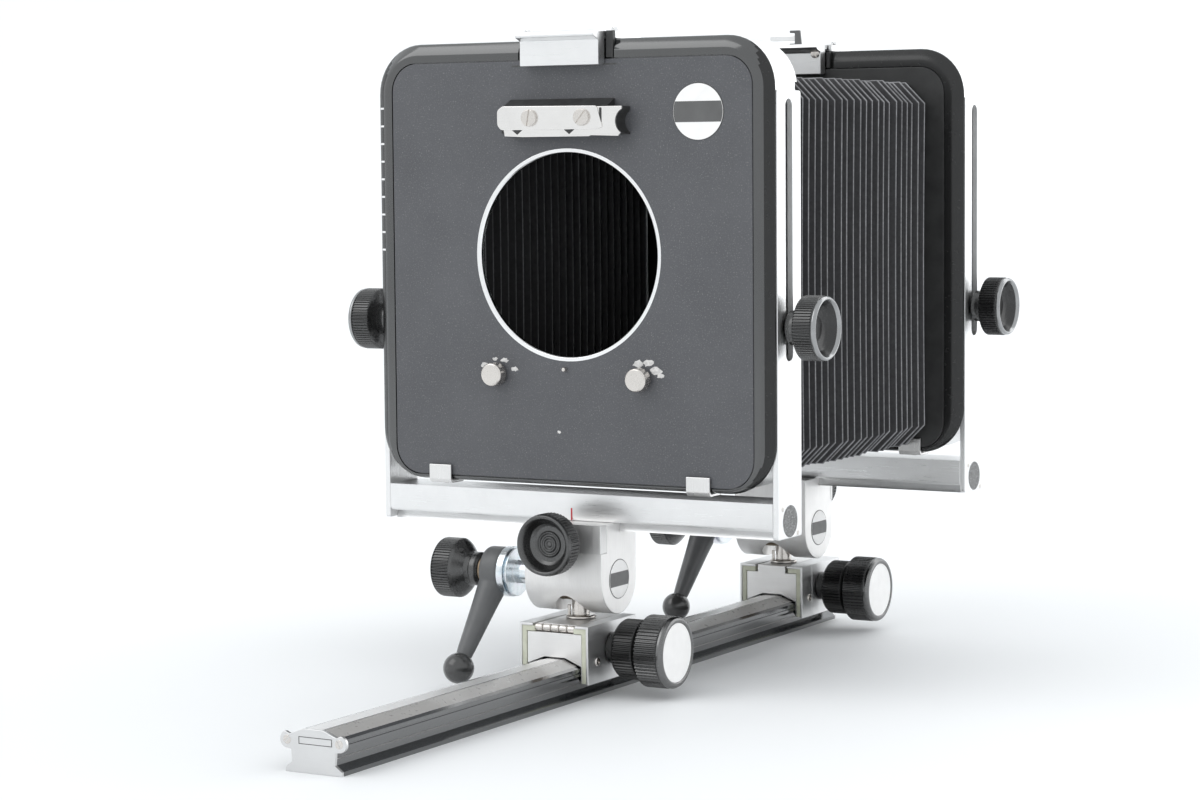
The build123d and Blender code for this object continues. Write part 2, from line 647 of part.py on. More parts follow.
make_rail()
for which in ("front", "rear"):
    make_carrier(which)
    make_swing(which)
    make_tilt_block(which)
    make_standard(which)
    make_format_frame(which)
make_top_hook()
make_lens_board()
make_bellows()
make_back()
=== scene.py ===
"""The finished look of the view camera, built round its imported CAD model.

All sizes below are millimetres in the model's own frame: the lens side faces -Y, X is to the
right seen from the front, Z is up, and the origin is the centre of the rail's foot.
A mesh is turned into metres when its object is made.
"""

import json
import math
import random

import bmesh
import bpy
from mathutils import Matrix, Vector


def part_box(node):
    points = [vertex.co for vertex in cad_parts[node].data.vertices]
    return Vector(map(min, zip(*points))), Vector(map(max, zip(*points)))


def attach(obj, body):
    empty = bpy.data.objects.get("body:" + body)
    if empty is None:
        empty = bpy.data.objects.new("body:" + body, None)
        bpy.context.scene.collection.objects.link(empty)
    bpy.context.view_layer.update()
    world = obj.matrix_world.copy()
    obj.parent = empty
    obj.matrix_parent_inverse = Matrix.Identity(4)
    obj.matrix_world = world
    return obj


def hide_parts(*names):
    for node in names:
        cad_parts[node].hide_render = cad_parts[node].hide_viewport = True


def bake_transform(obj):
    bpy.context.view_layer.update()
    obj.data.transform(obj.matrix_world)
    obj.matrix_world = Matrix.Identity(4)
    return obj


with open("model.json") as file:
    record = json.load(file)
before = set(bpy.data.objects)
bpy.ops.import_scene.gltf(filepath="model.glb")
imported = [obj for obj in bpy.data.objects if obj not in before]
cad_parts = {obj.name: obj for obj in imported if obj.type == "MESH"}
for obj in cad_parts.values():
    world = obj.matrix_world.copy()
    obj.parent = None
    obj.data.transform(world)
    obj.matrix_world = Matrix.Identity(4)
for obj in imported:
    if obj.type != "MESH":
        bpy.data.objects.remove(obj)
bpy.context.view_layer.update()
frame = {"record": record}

MM = 0.001
SIDES = ("front", "rear")


def cad(node):
    """The (low, high) corners of a CAD node, in millimetres."""
    low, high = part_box(node)
    return low / MM, high / MM


def cad_centre(node):
    low, high = cad(node)
    return (low + high) / 2


STANDARD_Y = {side: cad_centre(f"{side}_uprights").y for side in SIDES}
NECK_Y = {side: cad_centre(f"{side}_neck").y for side in SIDES}
CARRIER_Y = {side: cad_centre(f"{side}_carrier_shell").y for side in SIDES}
KNOB_SIDE = {"front": -1, "rear": 1}
TILT_Z = cad_centre("front_tilt_spindle").z
PINION_Z = cad_centre("front_focus_knob").z
SHIFT_KNOB_Z = cad_centre("front_shift_knob").z
RISE_Z = cad_centre("front_rise_knob_left").z
RAIL_LOW, RAIL_HIGH = cad("rail")
LENS_HOLE_R = 42.0
RIM_FACE = 14.65  # the rim's front face is this far ahead of its standard's middle
BAND_HALF = 11.0  # half the depth of the bright band
BOARD_SEAT = 12.25  # where the board or bellows plate rests
LENS_HOLE_Z = frame["record"]["mounts"][1]["pos_m"][2] / MM


# ---- materials ------------------------------------------------------------------------------


class Shader:
    """A Principled material whose colour, roughness and relief come from noise."""

    def __init__(self, name, metallic=0.0, **constants):
        self.material = bpy.data.materials.new(name)
        self.material.use_nodes = True
        self.tree = self.material.node_tree
        self.bsdf = self.tree.nodes["Principled BSDF"]
        self.bsdf.inputs["Metallic"].default_value = metallic
        for socket, value in constants.items():
            self.bsdf.inputs[socket.replace("_", " ")].default_value = value
        self.place = self.tree.nodes.new("ShaderNodeTexCoord").outputs["Object"]

    def node(self, kind, **settings):
        made = self.tree.nodes.new(kind)
        for key, value in settings.items():
            setattr(made, key, value)
        return made

    def link(self, source, target):
        self.tree.links.new(source, target)

    def noise(self, size, stretch=(1, 1, 1), detail=3.0, rough=0.55):
        """Noise whose blotches are about `size` millimetres across."""
        mapping = self.node("ShaderNodeMapping")
        mapping.inputs["Scale"].default_value = [1 / (size * MM * s) for s in stretch]
        self.link(self.place, mapping.inputs["Vector"])
        noise = self.node("ShaderNodeTexNoise")
        noise.inputs["Scale"].default_value = 1.0
        noise.inputs["Detail"].default_value = detail
        noise.inputs["Roughness"].default_value = rough
        self.link(mapping.outputs["Vector"], noise.inputs["Vector"])
        return noise.outputs["Fac"]

    def ramp(self, source, stops):
        """A colour ramp through (position, colour) stops."""
        ramp = self.node("ShaderNodeValToRGB")
        elements = ramp.color_ramp.elements
        while len(elements) < len(stops):
            elements.new(0.5)
        for element, (position, colour) in zip(elements, stops):
            element.position = position
            element.color = (*colour, 1.0)
        self.link(source, ramp.inputs["Fac"])
        return ramp.outputs["Color"]

    def span(self, source, low, high, start=0.3, stop=0.7):
        """Maps a noise value to the range low to high."""
        span = self.node("ShaderNodeMapRange")
        span.inputs["From Min"].default_value = start
        span.inputs["From Max"].default_value = stop
        span.inputs["To Min"].default_value = low
        span.inputs["To Max"].default_value = high
        self.link(source, span.inputs["Value"])
        return span.outputs["Result"]

    def blend(self, factor, first, second):
        mix = self.node("ShaderNodeMix", data_type="RGBA")
        self.link(factor, mix.inputs["Factor"])
        self.link(first, mix.inputs["A"])
        self.link(second, mix.inputs["B"])
        return mix.outputs["Result"]

    def colour(self, source):
        self.link(source, self.bsdf.inputs["Base Color"])
        return self

    def roughness(self, source):
        self.link(source, self.bsdf.inputs["Roughness"])
        return self

    def relief(self, source, depth):
        """Bump from a height source, `depth` millimetres deep."""
        bump = self.node("ShaderNodeBump")
        bump.inputs["Strength"].default_value = 1.0
        bump.inputs["Distance"].default_value = depth * MM
        self.link(source, bump.inputs["Height"])
        self.link(bump.outputs["Normal"], self.bsdf.inputs["Normal"])
        return self


def grey(value, warm=0.0):
    return (value * (1 + warm), value, value * (1 - warm))


def metal(name, tone, rough, warm=0.0, grain=(1, 1, 1), size=0.5, depth=0.004, mottle=0.06):
    """Bare metal with fine tool marks that run along the stretched axis."""
    look = Shader(name, metallic=1.0)
    broad = look.noise(14.0, detail=4.0)
    look.colour(look.ramp(broad, [(0.3, grey(tone * (1 - mottle), warm)), (0.7, grey(tone, warm))]))
    fine = look.noise(size, stretch=grain, detail=4.0)
    look.roughness(look.span(fine, rough * 0.8, rough * 1.25))
    look.relief(fine, depth)
    return look.material


def paint(name, tone, rough, size=0.6, depth=0.01, coat=0.0, warm=0.0, spread=0.25, shine=0.5):
    """Paint or plastic with a slight unevenness in tone, gloss and surface."""
    look = Shader(name, Coat_Weight=coat, Coat_Roughness=0.12, Specular_IOR_Level=shine)
    broad = look.noise(9.0, detail=5.0)
    dark, light = grey(tone * (1 - spread), warm), grey(tone * (1 + spread), warm)
    look.colour(look.ramp(broad, [(0.3, dark), (0.7, light)]))
    look.roughness(look.span(look.noise(3.0), rough * 0.85, rough * 1.2))
    look.relief(look.noise(size, detail=5.0), depth)
    return look.material


def board_paint():
    """Near-black hammered paint with small light specks."""
    look = Shader("board_paint")
    ground = look.ramp(look.noise(30.0, detail=8.0, rough=0.7),
        [(0.3, (0.078, 0.08, 0.088)), (0.7, (0.096, 0.098, 0.107))])
    specks = look.ramp(look.noise(0.6, detail=2.0, rough=0.7), [(0.58, grey(0)), (0.70, grey(1))])
    light = look.ramp(look.noise(6.0), [(0.0, grey(0.13)), (1.0, grey(0.24, 0.02))])
    look.colour(look.blend(specks, ground, light))
    look.roughness(look.span(look.noise(0.5), 0.42, 0.62))
    look.relief(look.noise(0.75, detail=4.0, rough=0.65), 0.07)
    return look.material


def bellows_cloth():
    """Matt black bellows material, grey on the fold tips: rubbed wear and a painted highlight."""
    look = Shader("bellows_cloth", Sheen_Weight=0.12, Sheen_Roughness=0.4)
    rub_and_highlight = look.node("ShaderNodeAttribute", attribute_name="rub_and_highlight").outputs["Fac"]
    rub_and_highlight_amount = look.node("ShaderNodeMath", operation="MULTIPLY")
    look.link(rub_and_highlight, rub_and_highlight_amount.inputs[0])
    look.link(look.span(look.noise(9.0, stretch=(1, 1, 2.5), detail=5.0), 0.55, 1.0), rub_and_highlight_amount.inputs[1])
    cloth = look.ramp(look.noise(1.6, detail=5.0), [(0.3, (0.017, 0.0165, 0.0185)),
        (0.7, (0.027, 0.026, 0.029))])
    # The tip grey is rubbed wear on the outer folds plus a painted highlight; on the inner folds it is
    # painted highlight only.
    rubbed_and_lit_grey = look.ramp(look.noise(1.2, detail=4.0), [(0.3, (0.26, 0.26, 0.27)), (0.7, (0.44, 0.44, 0.455))])
    look.colour(look.blend(rub_and_highlight_amount.outputs["Value"], cloth, rubbed_and_lit_grey))
    look.roughness(look.span(look.noise(2.5), 0.45, 0.7))
    look.relief(look.noise(0.35, detail=4.0), 0.03)
    return look.material


def speckled_disc():
    """Grey sintered discs at the ends of the crossbars."""
    look = Shader("speckled_grey")
    specks = look.noise(0.7, detail=3.0, rough=0.75)
    look.colour(look.ramp(specks, [(0.35, grey(0.09)), (0.5, grey(0.16)), (0.68, grey(0.42))]))
    look.roughness(look.span(specks, 0.45, 0.7))
    look.relief(specks, 0.05)
    return look.material


def zinc_plate():
    """Blue-white plated steel with faint rainbow patches."""
    look = Shader("zinc_plate", metallic=1.0)
    tints = look.noise(5.0, detail=3.0)
    stops = [(0.3, (0.62, 0.70, 0.76)), (0.5, (0.80, 0.84, 0.86)), (0.7, (0.80, 0.79, 0.86))]
    look.colour(look.ramp(tints, stops))
    look.roughness(look.span(look.noise(1.5), 0.14, 0.28))
    look.relief(look.noise(0.6), 0.004)
    return look.material


def ground_glass():
    look = Shader("ground_glass", IOR=1.5)
    look.bsdf.inputs["Transmission Weight"].default_value = 0.75
    look.colour(look.ramp(look.noise(12.0), [(0.3, (0.80, 0.84, 0.84)), (0.7, (0.88, 0.90, 0.90))]))
    grind = look.noise(0.2, detail=3.0)
    look.roughness(look.span(grind, 0.45, 0.6))
    look.relief(grind, 0.02)
    return look.material


def flat_colour(name, low, high, rough, size=1.0):
    """A small painted mark, slightly uneven."""
    look = Shader(name)
    look.colour(look.ramp(look.noise(size), [(0.3, low), (0.7, high)]))
    look.roughness(look.span(look.noise(size), rough * 0.9, rough * 1.1))
    return look.material


LOOKS = {
    "satin_x": metal("satin_silver_x", 0.84, 0.32, grain=(40, 1, 1), size=0.35, depth=0.002),
    "satin_z": metal("satin_silver_z", 0.84, 0.30, grain=(1, 1, 40), size=0.35, depth=0.002),
    "satin_y": metal("satin_silver_y", 0.80, 0.42, grain=(1, 40, 1), size=0.35, depth=0.0008),
    "block": metal("blasted_silver", 0.84, 0.52, warm=0.010, grain=(1, 1, 25), size=0.4, depth=0.006),
    "jaw": metal("jaw_silver", 0.74, 0.45, warm=0.008, grain=(1, 1, 25), size=0.4, depth=0.005),
    "bright": metal("bright_silver", 0.90, 0.16, size=0.8, depth=0.002, mottle=0.03),
    "clip": metal("spring_grey", 0.76, 0.30, warm=0.01, grain=(1, 1, 25), size=0.4, depth=0.003),
    "bracket": metal("bracket_grey", 0.80, 0.22, warm=0.02, grain=(25, 1, 1), size=0.4, depth=0.003),
    "nickel": metal("nickel", 0.66, 0.24, warm=0.05, size=0.5, depth=0.003),
    "brass": metal("aged_brass", 0.25, 0.42, warm=0.30, size=0.5, depth=0.01, mottle=0.3),
    "zinc": zinc_plate(),
    "board": board_paint(),
    "rim": paint("rim_black", 0.016, 0.12, size=1.6, depth=0.003, coat=1.0, warm=-0.05, spread=0.08,
                 shine=0.9),
    # A duller, darker copy of the rim black, used as painted shade on the rims.
    "rim_painted_shade": paint("rim_painted_shade_black", 0.014, 0.24, size=1.6, depth=0.003, spread=0.08, shine=0.45),
    "trim": paint("trim_black", 0.030, 0.42, size=0.5, depth=0.012),
    "knob": metal("knob_black", 0.12, 0.28, size=0.35, depth=0.006),
    "grip": metal("ring_black", 0.065, 0.30, size=0.35, depth=0.006),
    # Painted shade: a flat mid grey for the walls of the uprights' slots, in place of their bare silver.
    "slot": paint("slot_painted_shade_grey", 0.42, 0.55, size=0.5, depth=0.004, spread=0.06),
    "burnish": metal("burnished_edge", 0.36, 0.20, warm=-0.01, size=0.5, depth=0.002),
    "bevel": metal("bevel_grey", 0.19, 0.24, size=0.5, depth=0.002),
    "cap": metal("cap_silver", 0.72, 0.34, grain=(25, 1, 1), size=0.4, depth=0.002),
    "lever": paint("lever_grey", 0.115, 0.36, size=0.4, depth=0.012, spread=0.08, warm=-0.02),
    "ball": paint("ball_black", 0.045, 0.20, size=2.0, depth=0.004, coat=0.5),
    "liner": flat_colour("pale_liner", (0.54, 0.55, 0.43), (0.66, 0.67, 0.56), 0.4, size=4.0),
    "insert": metal("pale_insert", 0.84, 0.42, warm=0.01, grain=(20, 1, 1), size=0.4, depth=0.002),
    "enamel": flat_colour("white_enamel", grey(0.86, 0.01), grey(0.92, 0.01), 0.35, size=6.0),
    "band": paint("badge_band", 0.11, 0.4, spread=0.1),
    "ink": flat_colour("dark_ink", grey(0.05), grey(0.09), 0.6),
    "tick": flat_colour("white_tick", grey(0.75), grey(0.9), 0.5),
    "red": flat_colour("red_mark", (0.45, 0.02, 0.03), (0.6, 0.03, 0.05), 0.45),
    "speckle": speckled_disc(),
    "cloth": bellows_cloth(),
    "glass": ground_glass(),
    "rail": paint("black_anodised_polish", 0.024, 0.13, size=1.0, depth=0.0006, coat=1.0, warm=-0.08,
                  spread=0.1, shine=1.0),
    "rail_worn": paint("worn_anodised", 0.36, 0.30, size=1.0, depth=0.0008, coat=0.4, warm=0.03, spread=0.05,
                       shine=0.9),
    "chip": flat_colour("bare_chip", grey(0.5, 0.02), grey(0.75, 0.02), 0.4),
}


# ---- outlines -------------------------------------------------------------------------------


def soften(points, radius, closed=False, steps=3):
    """Rounds the corners of an outline. A third value on a point is kept on its new points."""
    result = []
    for i, point in enumerate(points):
        if not closed and i in (0, len(points) - 1):
            result.append(tuple(point))
            continue
        here = Vector(point[:2])
        before = Vector(points[i - 1][:2]) - here
        after = Vector(points[(i + 1) % len(points)][:2]) - here
        reach = min(radius, before.length * 0.45, after.length * 0.45)
        first = here + before.normalized() * reach
        last = here + after.normalized() * reach
        for step in range(steps + 1):
            t = step / steps
            spot = first * (1 - t) ** 2 + here * 2 * t * (1 - t) + last * t * t
            result.append((spot.x, spot.y, *point[2:]))
    return result


def arc(centre, radius, start, stop, steps):
    """Points on a circle between two angles in degrees."""
    angles = [math.radians(start + (stop - start) * i / steps) for i in range(steps + 1)]
    return [(centre[0] + radius * math.cos(a), centre[1] + radius * math.sin(a)) for a in angles]


def circle(x, y, radius, steps=48):
    return arc((x, y), radius, 0, 360, steps)[:-1]


def round_rect(half, y, radius, steps=8):
    """A rounded rectangle from -half to half, and between the two heights in y."""
    low, high = y[0] + radius, y[1] - radius
    side = half - radius
    corners = ((side, low, -90), (side, high, 0), (-side, high, 90), (-side, low, 180))
    return [p for x, h, start in corners for p in arc((x, h), radius, start, start + 90, steps)]


def box_outline(x, y, radius=0.0):
    points = [(x[0], y[0]), (x[1], y[0]), (x[1], y[1]), (x[0], y[1])]
    return soften(points, radius, closed=True) if radius else points


def slot_outline(x, y, radius, steps=12):
    """An upright slot with round ends."""
    top = arc((x, y[1] - radius), radius, 0, 180, steps)
    return top + arc((x, y[0] + radius), radius, 180, 360, steps)


# ---- meshes ---------------------------------------------------------------------------------

FACING_FRONT = Matrix(((1, 0, 0, 0), (0, 0, -1, 0), (0, 1, 0, 0), (0, 0, 0, 1)))
FACING_RIGHT = Matrix(((0, 0, 1, 0), (1, 0, 0, 0), (0, 1, 0, 0), (0, 0, 0, 1)))


def front_plane(y):
    """Outlines are (X, Z), and thickness grows towards -Y from y."""
    return Matrix.Translation((0, y, 0)) @ FACING_FRONT


def right_plane(x):
    """Outlines are (Y, Z), and thickness grows towards +X from x."""
    return Matrix.Translation((x, 0, 0)) @ FACING_RIGHT


def top_plane(z):
    """Outlines are (X, Y), and thickness grows towards +Z from z."""
    return Matrix.Translation((0, 0, z))


def solid(name, corners, faces):
    """A mesh object from corner points in millimetres."""
    mesh = bpy.data.meshes.new(name)
    mesh.from_pydata([Vector(corner) * MM for corner in corners], [], faces)
    mesh.validate()
    made = bpy.data.objects.new(name, mesh)
    bpy.context.scene.collection.objects.link(made)
    return made


def rings(name, loops, closed=False, capped=True):
    """A skin through loops that all have the same number of points."""
    count = len(loops[0])
    corners = [corner for loop in loops for corner in loop]
    pairs = [(i, i + 1) for i in range(len(loops) - 1)]
    if closed:
        pairs.append((len(loops) - 1, 0))
    faces = []
    for a, b in pairs:
        for j in range(count):
            k = (j + 1) % count
            faces.append((a * count + j, a * count + k, b * count + k, b * count + j))
    if capped and not closed:
        faces.append(tuple(range(count)))
        faces.append(tuple(range(len(corners) - 1, len(corners) - count - 1, -1)))
    return solid(name, corners, faces)


def groove(angle, teeth):
    """How deep a knurl is cut at this angle, from 0 on its ridge to 1 in its groove."""
    wave = 0.5 - 0.5 * math.cos(angle * teeth)
    return min(1.0, max(0.0, 1.5 * wave - 0.25))


def lathe(name, centre, axis, outline, steps=64, teeth=0, depth=0.4, soft=0.0):
    """Lathe work round an axis. outline holds (distance along, radius, share of knurl depth).

    An outline that starts off the axis makes a ring. soft is the rounding of its corners.
    """
    ring = outline[0][1] > 0.01
    if soft:
        outline = soften(outline, soft, closed=ring)
    along = Vector(axis).normalized()
    across = along.orthogonal().normalized()
    third = along.cross(across)
    if teeth:
        steps = teeth * 8
    loops = []
    for point in outline:
        share = point[2] if len(point) > 2 else 0.0
        loop = []
        for j in range(steps):
            angle = 2 * math.pi * j / steps
            radius = max(point[1] - share * depth * groove(angle, teeth), 0.001)
            arm = across * math.cos(angle) + third * math.sin(angle)
            loop.append(Vector(centre) + along * point[0] + arm * radius)
        loops.append(loop)
    return rings(name, loops, closed=ring, capped=not ring)


def plate(name, outlines, depth, plane, edge=0.3):
    """A flat plate with rounded edges from an outline and its holes."""
    curve = bpy.data.curves.new(name, "CURVE")
    curve.dimensions = "2D"
    curve.fill_mode = "BOTH"
    curve.extrude = depth / 2 - edge
    curve.bevel_depth = edge
    curve.bevel_resolution = 2
    curve.offset = -edge
    for outline in outlines:
        spline = curve.splines.new("POLY")
        spline.points.add(len(outline) - 1)
        spline.points.foreach_set("co", [c for x, y in outline for c in (x, y, 0.0, 1.0)])
        spline.use_cyclic_u = True
    holder = bpy.data.objects.new(name, curve)
    bpy.context.scene.collection.objects.link(holder)
    mesh = final_mesh(holder)
    bpy.data.objects.remove(holder)
    mesh.transform(Matrix.Scale(MM, 4) @ plane @ Matrix.Translation((0, 0, depth / 2)))
    made = bpy.data.objects.new(name, mesh)
    bpy.context.scene.collection.objects.link(made)
    return made


def final_mesh(obj):
    """The object's mesh with its modifiers applied."""
    bpy.context.view_layer.update()
    graph = bpy.context.evaluated_depsgraph_get()
    return bpy.data.meshes.new_from_object(obj.evaluated_get(graph))


def surround(name, profile, half, z, radius, steps=10):
    """A frame: profile holds (inset, y) points, carried round a rounded rectangle."""
    loops = []
    for inset, y in profile:
        outline = round_rect(half - inset, (z[0] + inset, z[1] - inset), max(radius - inset, 0.5), steps)
        loops.append([(x, y, height) for x, height in outline])
    return rings(name, loops, closed=True)


def cut(obj, *cutters):
    """Takes the cutters away from obj, one after the other."""
    for cutter in cutters:
        tidy(obj)
        tidy(cutter)
        modifier = obj.modifiers.new("cut", "BOOLEAN")
        modifier.operation = "DIFFERENCE"
        modifier.solver = "EXACT"
        modifier.object = cutter
        mesh = final_mesh(obj)
        obj.modifiers.clear()
        obj.data = mesh
        bpy.data.objects.remove(cutter)
    return obj


def join(name, parts):
    """One object from several, keeping each part's material."""
    materials = []
    gathered = bmesh.new()
    for part in parts:
        tidy(part)
        slot_index = []
        for material in part.data.materials:
            if material not in materials:
                materials.append(material)
            slot_index.append(materials.index(material))
        first = len(gathered.faces)
        gathered.from_mesh(part.data)
        gathered.faces.ensure_lookup_table()
        if slot_index:
            for face in gathered.faces[first:]:
                face.material_index = slot_index[face.material_index]
        bpy.data.objects.remove(part)
    mesh = bpy.data.meshes.new(name)
    gathered.to_mesh(mesh)
    gathered.free()
    for material in materials:
        mesh.materials.append(material)
    made = bpy.data.objects.new(name, mesh)
    bpy.context.scene.collection.objects.link(made)
    return made


SEAM = 1e-6  # vertices this close, in metres, are one


def tidy(obj, sharp=38):
    """Merges seams, turns faces outward, and shades smooth between sharp edges."""
    shape = bmesh.new()
    shape.from_mesh(obj.data)
    bmesh.ops.remove_doubles(shape, verts=shape.verts, dist=SEAM)
    bmesh.ops.dissolve_degenerate(shape, edges=shape.edges, dist=SEAM / 10)
    bmesh.ops.recalc_face_normals(shape, faces=shape.faces)
    limit = math.radians(sharp)
    for edge in shape.edges:
        edge.smooth = edge.calc_face_angle(0.0) < limit
    for face in shape.faces:
        face.smooth = True
    shape.to_mesh(obj.data)
    shape.free()


def look(obj, name):
    """Gives a part its material."""
    obj.data.materials.clear()
    obj.data.materials.append(LOOKS[name])
    return obj


def turned(finish, *shape, **how):
    """A lathe part with its material, to be joined to others."""
    return look(lathe("turned", *shape, **how), finish)


def sheet(finish, *shape, **how):
    """A plate with its material, to be joined to others."""
    return look(plate("sheet", *shape, **how), finish)


def place(obj, body, *nodes):
    """Finishes a piece: it rides on its body and stands for the CAD nodes named."""
    tidy(obj)
    normals = obj.modifiers.new("flat_faces", "WEIGHTED_NORMAL")
    normals.keep_sharp = True
    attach(obj, body)
    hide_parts(*nodes)
    return obj


# ---- small hardware -------------------------------------------------------------------------


def slotted_screw(name, centre, axis, radius, height, turn, finish="nickel"):
    """A cheese-head screw with a cut slot, turned by `turn` degrees."""
    outline = soften([(0, 0), (0, radius), (height, radius), (height, 0)], 0.35)
    head = lathe(name, centre, axis, outline, steps=40)
    along = Vector(axis).normalized()
    blade_centre = Vector(centre) + along * height
    blade = bar(f"{name}_slot", blade_centre, along, turn, (2.4 * radius, 0.22 * radius, 0.7 * height))
    return look(cut(head, blade), finish)


def bar(name, centre, along, turn, size):
    """A box with its third side along an axis, turned about it."""
    side = along.orthogonal().normalized()
    side = Matrix.Rotation(math.radians(turn), 3, along) @ side
    other = along.cross(side)
    half = [value / 2 for value in size]
    corners = []
    for a in (-1, 1):
        for b, c in ((-1, -1), (1, -1), (1, 1), (-1, 1)):
            offset = side * (a * half[0]) + other * (b * half[1]) + along * (c * half[2])
            corners.append(Vector(centre) + offset)
    faces = [(0, 1, 2, 3), (7, 6, 5, 4)]
    faces += [(i, i + 4, (i + 1) % 4 + 4, (i + 1) % 4) for i in range(4)]
    return solid(name, corners, faces)


def badge(name, centre, axis, radius, up):
    """A white disc with a blank dark band across it."""
    along = Vector(axis).normalized()
    disc = lathe(name, centre, axis, [(0, 0), (0, radius), (0.35, radius), (0.35, 0)], soft=0.12)
    look(disc, "enamel")
    edge = radius - 0.15
    half_band = radius * 0.37
    reach = math.degrees(math.asin(half_band / edge))
    outline = arc((0, 0), edge, -reach, reach, 8) + arc((0, 0), edge, 180 - reach, 180 + reach, 8)
    across = Vector(up).cross(along)
    turn = Matrix((across, up, along)).transposed().to_4x4()
    plane = Matrix.Translation(Vector(centre) + along * 0.3) @ turn
    strip = sheet("band", [outline], 0.12, plane, edge=0.02)
    ring = turned("ink", centre, axis, [(0, radius - 0.1), (0, radius + 0.3), (0.28, radius + 0.3),
        (0.28, radius - 0.1)], soft=0.1)
    return [disc, strip, ring]


# ---- rail -----------------------------------------------------------------------------------

RAIL_HALF = [(4.25, 16.35), (12.5, 13.2), (12.5, 10.0), (9.45, 9.2), (9.45, 3.8), (12.4, 1.6), (12.4, 0.0)]

STRIP_HALF = 3.25  # half width of the bright strip in the rail's top
WORN_X = 10.7  # the slopes are rubbed pale from the strip out to here


def rail_outline(points):
    return points + [(-x, z) for x, z in reversed(points)]


def make_rail():
    top, shoulder, under, neck_top, neck_bottom, foot, base = RAIL_HALF
    slope = (top[1] - shoulder[1]) / (shoulder[0] - top[0])
    worn_z = shoulder[1] + slope * (shoulder[0] - WORN_X)
    head_groove = [(shoulder[0] - deep, z) for deep, z in ((0, 11.9), (0.35, 11.7), (0.35, 11.3),
        (0, 11.1))]
    neck_groove = [(neck_top[0] - deep, z) for deep, z in ((0, 6.8), (0.3, 6.6), (0.3, 6.3), (0, 6.1))]
    grooved = [(STRIP_HALF, top[1] - 1.0), (STRIP_HALF, top[1]), top, (WORN_X, worn_z), shoulder,
        *head_groove, under, neck_top, *neck_groove, neck_bottom, foot, (foot[0], 1.0), base]
    length = RAIL_HIGH.y - RAIL_LOW.y
    outline = rail_outline(grooved)
    body = look(plate("rail_body", [outline], length, front_plane(RAIL_HIGH.y), edge=0.12), "rail")
    place(body, "rail", "rail")
    body.data.materials.append(LOOKS["rail_worn"])
    for face in body.data.polygons:
        if face.normal.z > 0.8 and abs(face.normal.x) > 0.2 and abs(face.center.x) < WORN_X * MM:
            face.material_index = 1

    strip_section = box_outline((-STRIP_HALF, STRIP_HALF), (top[1] - 0.95, top[1] + 0.02))
    strip = plate("scale_strip", [strip_section], length, front_plane(RAIL_HIGH.y), edge=0.06)
    place(look(strip, "insert"), "rail", "rail_strip")


def make_end_caps():
    low, high = cad("rail_end_caps")
    thick = 1.6
    lobe_x, lobe_z, lobe_r = 11.5, 11.8, 3.2
    right = [(4.25, 16.35), (10.4, 14.0), *arc((lobe_x, lobe_z), lobe_r, 75, -75, 8), (9.8, 8.4),
        (9.45, 3.8), (12.4, 1.6), (12.4, 0.0)]
    parts = []
    for y, way in ((low.y + thick, -1), (high.y, 1)):
        outer = y - thick if way < 0 else y
        parts.append(sheet("cap", [rail_outline(right)], thick, front_plane(y), 0.25))
        for x in (-lobe_x, lobe_x):
            parts.append(slotted_screw("cap_screw", (x, outer - way * 0.35, lobe_z), (0, way, 0), 1.75,
                0.45, 35 + x * 3))
        rim = [box_outline((-6.3, 8.4), (10.6, 13.4)), box_outline((-6.05, 8.15), (10.85, 13.15))]
        start = outer + 0.02 if way < 0 else outer + 0.10
        parts.append(sheet("ink", rim, 0.12, front_plane(start), 0.02))
    place(join("rail_caps", parts), "rail", "rail_end_caps")


# ---- carriers -------------------------------------------------------------------------------

SHELL = {"half": 16.3, "wall": 1.1, "low": 6.5, "high": 30.6}
SHELL_SLOT = {"front": 10.1, "rear": 8.2}  # half width of the gap in the carrier's top
LINER_WALL = 2.1


def hook_outline(outer, wall, low, high, slot, side):
    """One half of the carrier's shell: an upright wall with a flange over the top."""
    points = [(outer, low), (outer, high), (slot, high), (slot, high - wall),
        (outer - wall, high - wall), (outer - wall, low)]
    return [(side * x, z) for x, z in points]


